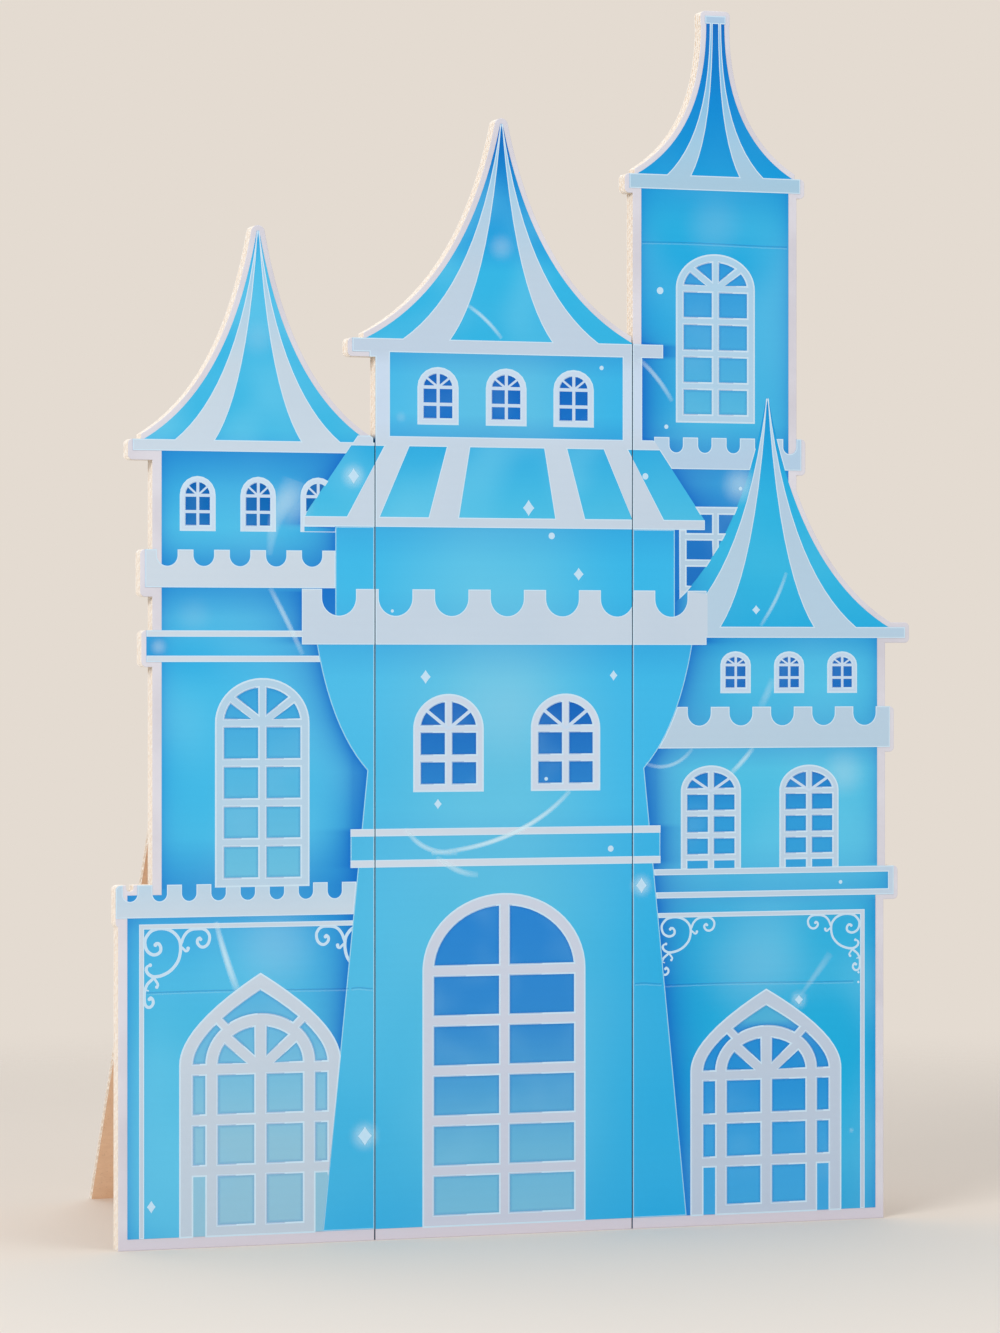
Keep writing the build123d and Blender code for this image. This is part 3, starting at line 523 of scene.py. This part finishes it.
def printed(name, parts, slot, material, strength=None):
    """A piece of the print or of painted crease shade, made of several parts. With a strength, it has their veils
    times that.
    """
    points, faces, veil = joined(parts)
    piece(name, points, (faces,), slot, material, veil=None if strength is None else veil * strength)


def circle(sides):
    """Corners of a regular polygon of radius 1 about the origin."""
    angle = np.arange(sides) * (2 * pi / sides)
    return np.stack((np.cos(angle), np.sin(angle)), 1)


def on_face(flat, y):
    """Points of the card's face, from pairs of X and Z."""
    return np.stack((flat[..., 0], np.full(flat.shape[:-1], y), flat[..., 1]), -1).reshape(-1, 3)


def front_face(node, level):
    """Merged points and triangles of a node's face at one level."""
    mesh = nodes[node].data
    flat = np.empty(len(mesh.vertices) * 3, np.float32)
    mesh.vertices.foreach_get("co", flat)
    mesh.calc_loop_triangles()
    corners = np.empty(len(mesh.loop_triangles) * 3, np.int32)
    mesh.loop_triangles.foreach_get("vertices", corners)
    points, index = np.unique(np.round(flat.reshape(-1, 3).astype(float) * METRE, 3), axis=0, return_inverse=True)
    triangles = index.reshape(-1)[corners].reshape(-1, 3)
    return points, triangles[np.all(np.abs(points[triangles][:, :, 1] - level) < ink / 10, axis=1)]


def outline(points, triangles):
    """Ends of each edge of a face's outline, and the points before and after each point.

    A directed edge lies on the outline where no other triangle runs it backwards. The face is on the left of
    each edge, seen from the front.
    """
    start = triangles.reshape(-1)
    end = np.roll(triangles, -1, axis=1).reshape(-1)
    free = ~np.isin(start * len(points) + end, end * len(points) + start)
    start, end = start[free], end[free]
    before = np.arange(len(points))
    after = np.arange(len(points))
    after[start] = end
    before[end] = start
    return start, end, before, after


def mitres(points, used, before, after):
    """How far each outline point moves for each millimetre outwards.

    It is the sum of the normals of its two edges, scaled so that both sides keep their distance. Sharp corners
    are cut back.
    """
    flat = points[:, (0, 2)]
    along = np.stack((flat[used] - flat[before[used]], flat[after[used]] - flat[used]))
    along /= np.maximum(np.hypot(along[..., 0], along[..., 1]), 1e-6)[..., None]
    total = np.stack((along[..., 1], -along[..., 0]), -1).sum(0)
    return total / np.maximum((total * total).sum(1) / 2, 0.5)[:, None]


def edge_line(node, level, near, far, y, holes=False):
    """A line along a field's outline, or along its holes only, between two distances outside it.

    A loop is named by its lowest point, found by doubling each point's reach along it. A hole runs the other
    way round, so its area is negative. Lines that face right lie a little in front of those that face left, as
    the two cross in the tips.
    """
    points, triangles = front_face(node, level)
    start, end, before, after = outline(points, triangles)
    if holes:
        name = np.arange(len(points))
        reach = after.copy()
        for doubling in range(int(np.ceil(np.log2(len(points))))):
            name = np.minimum(name, name[reach])
            reach = reach[reach]
        area = np.zeros(len(points))
        x, z = points[:, 0], points[:, 2]
        np.add.at(area, name[start], x[start] * z[end] - x[end] * z[start])
        keep = area[name[start]] < 0
        start, end = start[keep], end[keep]
    used = np.unique(start)
    place = np.zeros(len(points), int)
    place[used] = np.arange(len(used))
    move = mitres(points, used, before, after)
    rows = on_face(points[used][:, (0, 2)] + move * np.array((near, far))[:, None, None], y)
    rows[:, 1] -= np.tile(move[:, 0] > 0, 2) * lift / 2
    a, b = place[start], place[end]
    return rows, np.stack((a, a + len(used), b + len(used), b), 1), np.repeat((1.0, 0.0), len(used))


def ribbon(path, half, y, strength=1.0):
    """A strip along a path on the card's face, which spans half its width to the right and to the left.

    Its veil is the strength times the cosine of a quarter turn for each half width from the path.
    """
    along = np.gradient(path, axis=0)
    along /= np.hypot(along[:, 0], along[:, 1])[:, None]
    left = np.stack((-along[:, 1], along[:, 0]), 1)
    share = np.linspace(-1, 1, 7)[:, None]
    flat = path + left * (share * half)[..., None]
    veil = np.cos(share * pi / 2) * strength * np.ones(len(path))
    return on_face(flat, y), grid_faces(len(share), len(path)), veil.reshape(-1)


def swoosh(knots, count=40):
    """A smooth path drawn by its knots: the Bezier curve of as many knots as are given."""
    knots = np.array(knots, float)
    order = len(knots) - 1
    t = np.linspace(0, 1, count)[:, None]
    share = np.arange(order + 1)
    ways = np.array([comb(order, k) for k in share])
    return (ways * t ** share * (1 - t) ** (order - share)) @ knots


def through(knots, count=9):
    """A smooth path through its knots: cubics whose slope at a knot is half the way between its neighbours."""
    p = np.array(knots, float)
    p = np.concatenate((2 * p[:1] - p[1:2], p, 2 * p[-1:] - p[-2:-1]))
    a, b, c, d = p[:-3, None], p[1:-2, None], p[2:-1, None], p[3:, None]
    t = np.arange(count)[:, None] / count
    path = b + (c - a) / 2 * t + (2 * a - 5 * b + 4 * c - d) / 2 * t ** 2 + (3 * b - a - 3 * c + d) / 2 * t ** 3
    return np.concatenate((path.reshape(-1, 2), p[-2:-1]))


def outside_tower(flat):
    """Whether pairs of X and Z lie clear of the central tower."""
    edge = np.array(tower_edge, float)
    return np.abs(flat[:, 0] - tower_axis) > np.interp(flat[:, 1], edge[:, 0], edge[:, 1])


# Card: the boards, the legs and their straps

def open_flutes(share, turn):
    """How deep the raw edge is recessed, from 0 to 1, at shares of a layer and turns of its wave.

    It is nil in the liners and on the medium, which lies across the layer as the sine of its turn, with the
    fall of a bell curve to either side.
    """
    medium = 0.5 + medium_swing * np.sin(turn)
    within = np.clip((0.5 - np.abs(share - 0.5) - liner_share) / liner_rise, 0, 1)
    return within * (1 - np.exp(-((share - medium) / medium_share) ** 2))


def board_card(name, node):
    """A die-cut board: white face, brown back and a raw edge with the flutes open in it.

    The outline is the CAD board's, put in order by doubling each point's reach back towards the first and cut
    into short steps. The edge carries a profile along it: the liners lie on the outline, and the flutes open
    between them. The wave turns with the height, so an upright edge shows waves and a level edge a channel.
    """
    points, triangles = front_face(node, board_front)
    start, end, before, after = outline(points, triangles)
    used = np.unique(start)
    place = np.zeros(len(points), int)
    place[used] = np.arange(len(used))
    reach = place[before[used]]
    reach[0] = 0
    steps = np.minimum(np.arange(len(used)), 1)
    for doubling in range(int(np.ceil(np.log2(len(used))))):
        steps = steps + steps[reach]
        reach = reach[reach]
    order = used[np.argsort(steps)]
    loop = points[order][:, (0, 2)]
    ring = np.concatenate((loop, loop[:1]))
    run = np.concatenate(((0,), np.cumsum(np.hypot(*np.diff(ring, axis=0).T))))
    knots = np.round(run[:-1], 2)
    steps = np.arange(0, run[-1] - end_gap, edge_step)
    near = np.abs(steps[:, None] - knots).min(1)
    cuts = np.unique(np.concatenate((knots, np.round(steps[near > corner_gap], 2))))
    turn = mitres(points, order, before, after)
    turn = np.concatenate((turn, turn[:1]))
    path = np.stack([np.interp(cuts, run, ring[:, k]) for k in (0, 1)], 1)
    outward = np.stack([np.interp(cuts, run, turn[:, k]) for k in (0, 1)], 1)

    layer = (board_back - board_front - liner) / board_layers
    share = np.array((0.02, *edge_shares, 0.98))
    across = (board_front + liner / 2 + layer * (np.arange(board_layers)[:, None] + share)).reshape(-1)
    phase = np.repeat(np.arange(board_layers) * flute_shift, len(share))[:, None]
    depth = open_flutes(np.tile(share, board_layers)[:, None], path[:, 1] * flute_turn + phase)
    rim_y = board_front + rim_behind
    rim_in = rim_inset[:, None] * np.ones(len(path))
    y = np.concatenate((rim_y, across, -rim_y[::-1]))[:, None]
    inward = np.concatenate((rim_in, depth * flute_depth, rim_in[::-1]))
    flat = path - outward * inward[..., None]
    rows, columns = inward.shape
    grid = np.stack((flat[..., 0], np.broadcast_to(y, inward.shape), flat[..., 1]), -1).reshape(-1, 3)
    sides = grid_faces(rows, columns, wrap=True)[:, ::-1]
    place[order] = np.searchsorted(cuts, knots)
    face = place[triangles]
    veil = np.concatenate((rim_in * 0, depth, rim_in * 0)).reshape(-1)
    counts = (columns * 2, columns * (rows - 5), columns * 2, len(face), len(face))
    card = piece(name, grid, (sides, face, face[:, ::-1] + (rows - 1) * columns), "board",
                 white_card, raw_edge, brown_card, veil=veil, finish=np.repeat((0, 1, 2, 0, 2), counts))
    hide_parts(node)


def folded_card(name, node, inner, outer, middle, width, recess, slot):
    """A sheet that is folded along its length, with open flutes in its two long edges.

    Its inner and outer lines, in the plane of Y and Z, are cut into equal shares, and their corners are eased.
    A ring goes round the sheet at each share: up one long edge, over the face, down the other edge and back.
    The faces are turned round if they would point inwards.
    """
    inner, outer = np.array(inner, float), np.array(outer, float)
    length = np.concatenate(((0,), np.cumsum(np.hypot(*np.diff(inner, axis=0).T))))
    run = np.linspace(0, length[-1], int(length[-1] / edge_step))
    at_ends = np.minimum(1, np.minimum(run, run[::-1]) / fold_ease_end)
    ease = fold_ease * np.sin(np.linspace(-1, 1, 5) * pi / 2)[:, None] * at_ends
    lines = [np.stack([np.interp(run + ease, length, line[:, k]).mean(0) for k in (0, 1)], 1)
             for line in (inner, outer)]
    share = np.array((0.0, *edge_shares, 1.0))
    depth = open_flutes(share, run[:, None] * flute_turn)
    flat = lines[0][:, None] * (1 - share)[:, None] + lines[1][:, None] * share[:, None]
    low = np.concatenate(((middle - width / 2 + depth * recess)[..., None], flat), 2)
    high = np.concatenate(((middle + width / 2 - depth * recess)[..., None], flat), 2)[:, ::-1]
    ring = np.concatenate((low, high), 1)
    rows, columns = ring.shape[:2]
    grid = ring.reshape(-1, 3)
    sides = grid_faces(rows, columns, wrap=True)
    caps = np.stack((np.arange(columns)[::-1], np.arange((rows - 1) * columns, rows * columns)))
    corner = grid[sides]
    normal = np.cross(corner[:, 1] - corner[:, 0], corner[:, 2] - corner[:, 0])
    if ((corner[:, 0] - grid.mean(0)) * normal).sum() < 0:
        sides, caps = sides[:, ::-1], caps[:, ::-1]
    veil = np.concatenate((depth, depth[:, ::-1]), 1).reshape(-1)
    edge = np.ones(columns, int)
    edge[[len(share) - 1, columns - 1]] = 0
    finish = np.concatenate((np.tile(edge, rows - 1), (1, 1)))
    sheet = piece(name, grid, (sides, caps), slot, kraft, raw_edge, veil=veil, finish=finish)
    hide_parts(node)


for side in boards:
    board_card(f"{side}_board", f"{side}_panel")


def leg_face(z):
    """The place along Y of a leg's inner face at a height."""
    return board_back + (leg_fold_z - z) * leg_reach / leg_fold_z


slant = float(np.hypot(leg_reach, leg_fold_z)) / leg_fold_z
fold_z = leg_fold_z + leg_thickness * (slant - 1) * leg_fold_z / leg_reach
flap_z = leg_fold_z + flap_height
tab_z = strap_z + strap_tab
strap_top = strap_z + strap_thickness
strap_inset = strap_thickness * slant
for side, middle in (("left", -leg_x), ("right", leg_x)):
    folded_card(f"{side}_leg_card", f"{side}_easel_leg",
                ((board_back, flap_z), (board_back, leg_fold_z), (leg_face(0), 0)),
                ((board_back + leg_thickness, flap_z), (board_back + leg_thickness, fold_z),
                 (leg_face(0) + leg_thickness * slant, 0)), middle, leg_width, leg_flute_depth, "kraft")
    folded_card(f"{side}_strap_card", f"{side}_leg_strap",
                ((board_back, tab_z), (board_back, strap_z), (leg_face(strap_z), strap_z),
                 (leg_face(tab_z), tab_z)),
                ((board_back + strap_thickness, tab_z), (board_back + strap_thickness, strap_top),
                 (leg_face(strap_top) - strap_inset, strap_top), (leg_face(tab_z) - strap_inset, tab_z)),
                middle, strap_width, strap_flute_depth, "kraft")

# Print: pale lines round the trim and along the tower's edge, and faint shade in the panes
trims = [f"{side}_trim_print" for side in boards]
printed("band_lines", [edge_line(node, trim_y, -band_line, line_over, trim_y - lift) for node in trims],
        "trim_ink", pale_line)
printed("frame_lines", [edge_line(node, frame_y, -frame_line, line_over, frame_y - lift) for node in trims],
        "trim_ink", pale_line)
printed("pane_shade", [edge_line(node, frame_y, 0.0, pane_shade_reach, trim_y - lift, True) for node in trims],
        "glass_ink", shadow_veil, pane_shade_strength)
tower_lines = [edge_line(f"{side}_tower_print", ground_y, -tower_line_far, -tower_line_near, ground_y - lift)
               for side in ("left", "right")]
points, faces, veil = joined(tower_lines)
piece("tower_edge_lines", points, (faces,), "trim_ink", light_veil, veil=np.full(len(points), tower_line_strength))

# Print: bars of the small windows and fans of the middle ones. Axis, half width, sill, spring line, rise,
# jamb and bar, then the rows of panes, none where only the fan is drawn.
small_windows = [(-209 + 50 * i, 14, 568.5, 596, 14.5, 3.2, 2.4, 2) for i in (-1, 0, 1)]
small_windows += [(1 + 58.5 * i, 16.8, 656, 685.5, 15.5, 3.8, 2.7, 2) for i in (-1, 0, 1)]
small_windows += [(250.5 + 48 * i, 12.8, 439, 461.5, 10.5, 3.2, 2.2, 2) for i in (-1, 0, 1)]
fans = [(2 + 50.5 * i, 29.4, 360, 410, 27.5, 5, 4.2, 0) for i in (-1, 1)]
fans += [(224.5 + 44 * i, 26, 265, 357.5, 20.5, 4.2, 3.4, 0) for i in (-1, 1)]
bar_lap = 0.6  # of a bar's ends over the frame
fan_x, fan_z = 0.76, 0.65  # shares of the opening, where a fan's slanted bars end
fan_bar = 0.66  # share of a bar's width
bars = []
for axis, half, sill, spring, rise, jamb, bar, rows in small_windows + fans:
    inner = half - jamb + bar_lap
    top = rise - jamb + bar_lap
    ends = [((0, 0), (turn * inner * fan_x, top * fan_z), fan_bar) for turn in (-1, 1)]
    if rows:
        ends.append(((0, sill - spring + jamb - bar_lap), (0, top), 1.0))
        pitch = (spring - sill - jamb / 2) / rows
        ends += [((-inner, -pitch * row), (inner, -pitch * row), 1.0) for row in range(rows)]
    for step, (first, last, thick) in enumerate(ends):  # each bar lies a little in front of the last
        path = np.array((axis, spring)) + np.linspace(first, last, 30)
        bars.append(ribbon(path, bar / 2 * thick, frame_y - lift * (1.4 + 0.4 * step)))
points, faces, veil = joined(bars)
centres = points[faces].mean(1)[:, (0, 2)]
faces = faces[outside_tower(centres) | (np.abs(centres[:, 0]) < seam_x)]
piece("window_bars", points, (faces,), "trim_ink", bar_print)

# Print: a strip of wall over the last left window's sill, which ends at the awning
sill = np.array(((-170.6, 568.2), (-144.8, 568.2), (-144.8, 572.0), (-170.6, 572.0)))
piece("sill_cover", on_face(sill, frame_y - lift * 4), (np.arange(4)[None],), "wall_ink", left_wall)

# Print: corner scrolls. Each stroke runs through points measured in from the corner and down, with half its
# width. Place of each corner, the side it faces, and how wide and how tall its scrolls are.
strokes = (
    (((5.3, 28), (2.8, 29.2), (1.8, 31.8), (3.4, 35), (6.8, 37.1), (10.1, 37.4), (14.6, 36.5), (19.7, 34.2),
      (24.2, 30.5), (28.1, 24.9), (29.8, 18.2), (29.8, 12.4), (28.6, 8.1), (25.3, 3.7), (20.8, 0.8), (16.3, -0.4),
      (11.3, -0.4), (6.2, 1.2), (2.8, 4.6), (1, 8), (0.8, 11.6), (2, 15.9), (4.5, 18.7), (7.9, 20.1), (11.3, 19.4),
      (13.5, 17.2), (13.6, 14), (12.1, 11.6), (9.8, 11.2), (9.0, 12.2)), 1.3),
    (((30.1, 14.4), (31.1, 9.8), (32.9, 5.7), (36, 2.2), (40, 0.5), (44.5, 0.2), (48.4, 0.4), (51.5, 2.1),
      (53.6, 5.4), (53.7, 9.1), (52.2, 12.7), (49.2, 14.7), (46.1, 14.2), (43.9, 11.6), (43.9, 9), (45.6, 7.6),
      (46.8, 8.4)), 1.2),
    (((8.4, 38), (5.9, 40.2), (2.8, 43.2), (1.2, 46.5), (0.4, 50.1), (0.3, 54.9), (0.8, 58.8), (2.8, 61.3),
      (5.6, 61), (7.4, 58.5), (7.2, 55.8), (5.6, 54), (4.0, 54.6)), 1.2),
    (((30.4, 14.2), (32.9, 16.5), (34.3, 17.7), (36, 17), (36.3, 15.1)), 1.0),
    (((8.2, 38.6), (10.4, 41.8), (11.3, 43.9), (10.4, 46)), 1.0),
    (((0.8, 47.5), (2.4, 48.0), (3.9, 48.5)), 0.6))
balls = np.array(((5.0, 28.2, 1.5), (9.3, 12.3, 1.6), (46.4, 8.6, 1.4), (36.1, 15.6, 1.5), (10.4, 45.6, 1.4),
                  (4.4, 55.0, 1.5)))
corners = ((-303.0, 253.0, 1, 1.0, 1.0), (-106.5, 253.0, -1, 1.0, 1.0), (136.2, 254.0, 1, 0.88, 0.76),
           (315.0, 254.0, -1, 0.88, 0.76))
scrolls = []
ends = []
for corner_x, corner_z, side, wide, tall in corners:
    corner = np.array((corner_x, corner_z))
    turn = np.array((side * wide, -tall))
    for step, (points, half) in enumerate(strokes):
        path = corner + through(points) * turn
        t = np.linspace(0, 1, len(path))
        taper = np.clip(np.minimum(t, 1 - t) * 9 + 0.5, 0, 1)
        scrolls.append(ribbon(path, half * tall * taper, ground_y - lift * (1 + step / 2)))
    ends.append(np.concatenate((corner + balls[:, :2] * turn, balls[:, 2:] * tall), 1))
points, faces, veil = joined(scrolls)
faces = faces[outside_tower(points[faces].mean(1)[:, (0, 2)])]
ends = np.concatenate(ends)
ends = ends[outside_tower(ends)]
rounds = ends[:, None, :2] + circle(20) * ends[:, 2][:, None, None]
round_faces = np.arange(rounds.shape[0] * rounds.shape[1]).reshape(rounds.shape[:2]) + len(points)
piece("corner_scrolls", np.concatenate((points, on_face(rounds, ground_y - lift * 4.5))), (faces, round_faces),
      "trim_ink", scroll_print)

# Print: sparkles, each a four-pointed star whose reach to its two axes, each to a power, adds up to 1, and round
# dots. Place, half width, half height and halo of a star; place and radius of a dot.
star_power = 0.9
sparkles = np.array(((-119.7, 84, 5.8, 7.6, 15), (-297.2, 34, 3.6, 5.0, 0), (118.8, 281, 4.6, 6.4, 12),
                     (-68.2, 452, 4.4, 5.6, 0), (94.3, 453, 3.4, 4.3, 0), (-57.7, 349.5, 3.3, 4.2, 0),
                     (63.8, 535.5, 4.4, 5.2, 0), (20.3, 589, 4.9, 6.6, 0), (-129.2, 613, 4.6, 6.2, 13),
                     (220.8, 507, 3.6, 3.8, 0), (259.3, 184, 3.8, 4.0, 10)))
dots = np.array(((91.8, 311.5, 2.5), (40.3, 566.5, 2.7), (122.3, 616, 2.6), (135.3, 768.5, 2.9), (140.8, 657, 1.8),
                 (83.8, 704, 1.8), (206.8, 607, 1.6), (35.5, 369, 1.5), (-96.5, 505, 1.3), (297.0, 281, 1.6),
                 (313.4, 205.5, 1.0), (313.2, 197.4, 1.0)))
disc = circle(32)
star = disc * (np.abs(disc) ** star_power).sum(1, keepdims=True) ** (-1 / star_power)
stars = sparkles[:, None, :2] + star * sparkles[:, None, 2:4]
discs = dots[:, None, :2] + disc * dots[:, None, 2:3]
shapes = np.concatenate((stars, discs))
shape_faces = np.arange(shapes.shape[0] * shapes.shape[1]).reshape(shapes.shape[:2])
piece("sparkles", on_face(shapes, frame_y - lift), (shape_faces,), "trim_ink", spark_print)

# Print: halos and glows, soft discs whose veil falls from the middle as the square of a cosine.
# Place, radius and strength.
glows = [(x, z, halo, 0.5) for x, z, wide, high, halo in sparkles.tolist() if halo]
glows += [(-182, 590, 24, 0.3), (-205, 345, 38, 0.16), (-262, 500, 20, 0.08), (-291, 476, 9, 0.3), (0, 428, 66, 0.1),
          (300, 372, 26, 0.24), (206, 610, 20, 0.4), (184, 822, 34, 0.1), (-209, 722, 20, 0.12), (-3, 800, 14, 0.22),
          (220, 214, 62, 0.11), (-194, 236, 46, 0.15), (-89, 661, 6, 0.14), (307, 74, 3, 0.25)]
glows = np.array(glows)
ring = np.linspace(0.02, 1, 9)
spokes = circle(36)
flat = glows[:, None, None, :2] + ring[:, None, None] * spokes * glows[:, 2][:, None, None, None]
veil = (glows[:, 3][:, None, None] * np.cos(ring * pi / 2)[:, None] ** 2 * np.ones(len(spokes))).reshape(-1)
first = np.arange(len(glows))[:, None] * (len(ring) * len(spokes))
rings = (grid_faces(len(ring), len(spokes), wrap=True)[:, ::-1] + first[..., None]).reshape(-1, 4)
hubs = np.arange(len(spokes)) + first
piece("glows", on_face(flat, ground_y - lift * 2), (rings, hubs), "wall_ink", light_veil, veil=veil)

# Print: light ribbons. Knots, half width, or the two at its ends, and strength, and how far all are moved.
trails = ((((-243, 258), (-237, 236), (-232, 220), (-225, 203)), (2.6, 3.8), 0.75),
          (((-198, 523), (-190, 508), (-182, 494), (-171, 470)), 2.6, 0.5),
          (((-177, 609), (-181, 596), (-199, 582), (-195, 566), (-199, 549)), (12.0, 3.0), 0.28),
          (((57, 359), (40, 340), (8, 318), (-30, 312), (-62, 310)), 2.4, 0.85),
          (((-84, 330), (-76, 318), (-64, 309), (-40, 310)), 2.6, 0.55),
          (((-58, 306), (-46, 300), (-40, 293), (-22, 292)), 3.0, 0.5),
          (((-31, 752), (-22, 747), (-10, 737), (-2, 726)), 2.0, 0.6),
          (((117, 712), (128, 705), (140, 690), (147, 678)), 2.4, 0.5),
          (((249, 538), (243, 520), (236, 508), (226, 494)), 2.0, 0.5),
          (((219, 393), (214, 386), (206, 378), (199, 372)), 2.6, 0.6),
          (((124, 381), (138, 374), (156, 380), (165, 393)), 2.0, 0.45),
          (((237, 450), (234, 442), (230, 434), (226, 427)), 4.0, 0.25),
          (((262, 188), (272, 200), (281, 211), (289, 222)), (2.2, 4.2), 0.24))
trail_shift = np.array((-1.2, 0))
streaks = []
for knots, half, strength in trails:
    path = swoosh(knots)
    t = np.linspace(0, 1, len(path))
    fading = strength * np.sin(pi * (0.1 + 0.8 * t))
    wide = np.linspace(*np.broadcast_to(half, 2), len(path))
    streaks.append(ribbon(path + trail_shift, wide, frame_y - lift * 4, fading))
printed("light_trails", streaks, "trim_ink", light_veil, 1.0)

# Card: level creases across the side boards, each a painted shadow in its hollow with a painted highlight on the
# lip under it. Ends and height of each, then how far each kind lies below it, its half width, lift and strength.
creases = ((-301, -133, 203), (-131, -113, 202.5), (113, 137, 200.5), (139, 309, 198.8), (119.5, 249, 808))
for name, below, half, rise, strength, material in (("crease_painted_shade", 0.0, 0.8, 1.5, 0.34, shadow_veil),
                                                    ("crease_painted_highlight", 1.3, 0.7, 2.5, 0.13, light_veil)):
    waver = 0.5 * np.sin(np.linspace(0, 5, 24))
    paths = [np.stack((np.linspace(first, last, len(waver)), z - below + waver), 1) for first, last, z in creases]
    lines = [ribbon(path, half, ground_y - lift * rise, strength) for path in paths]
    printed(name, lines, "wall_ink", material, 1.0)

# Floor, light and camera
backdrop_tone = srgb(228, 219, 209)
floor = bpy.data.meshes.new("floor")
floor.from_pydata([(-30, -30, 0), (30, -30, 0), (30, 30, 0), (-30, 30, 0)], [], [(0, 1, 2, 3)])
floor_object = placed("floor", floor)
floor_finish = Finish("floor_paint", roughness=0.8, specular=0.2)
floor_finish.plug("Base Color", backdrop_tone)
far = floor_finish.start.node("ShaderNodeVectorMath", {0: floor_finish.place}, output=1, operation="LENGTH")
clear = floor_finish.start.node("ShaderNodeBsdfTransparent")
ground = Tone(floor_finish.tree, floor_finish.shader.outputs[0])
blend = floor_finish.start.node("ShaderNodeMixShader", {0: far.step(1.0, 2.2), 1: ground, 2: clear})
floor_finish.tree.links.new(blend.socket, floor_finish.tree.nodes["Material Output"].inputs[0])
floor.materials.append(floor_finish.material)


def lamp(name, place, aim, size, watts):
    """A square area lamp at a place in metres, turned to a point."""
    light = bpy.data.lights.new(name, "AREA")
    light.size = size
    light.energy = watts
    made = placed(name, light)
    made.location = place
    made.rotation_euler = (Vector(aim) - Vector(place)).to_track_quat("-Z", "Y").to_euler()


lamp("key", (-2.8, -2.4, 2.4), (0, 0, 0.5), 1.8, 84)
lamp("fill", (2.2, -3.2, 1.6), (0, 0, 0.5), 2.6, 36)
lamp("top", (0, 0.8, 3.2), (0, 0, 0.3), 2.5, 34)
# The world is seen as a warm pale backdrop, and lights the castle evenly
world = bpy.data.worlds.new("studio")
world.use_nodes = True
sky = Tone(world.node_tree)
backdrop = world.node_tree.nodes["Background"]
seen = sky.node("ShaderNodeLightPath")
shade = seen.mix((0.5, 0.5, 0.5, 1), backdrop_tone)
world.node_tree.links.new(shade.socket, backdrop.inputs[0])
bpy.context.scene.world = world

camera = bpy.data.cameras.new("camera")
camera.sensor_fit = "VERTICAL"
camera.sensor_height = 36.0
camera.lens = 127.8
camera.shift_y = -0.0049
camera_object = placed("camera", camera)
camera_object.location = (-1.3154, -3.6095, 0.4656)
camera_object.rotation_euler = (radians(90), 0, radians(-20))
bpy.context.scene.camera = camera_object
bpy.context.scene.view_settings.view_transform = "Standard"
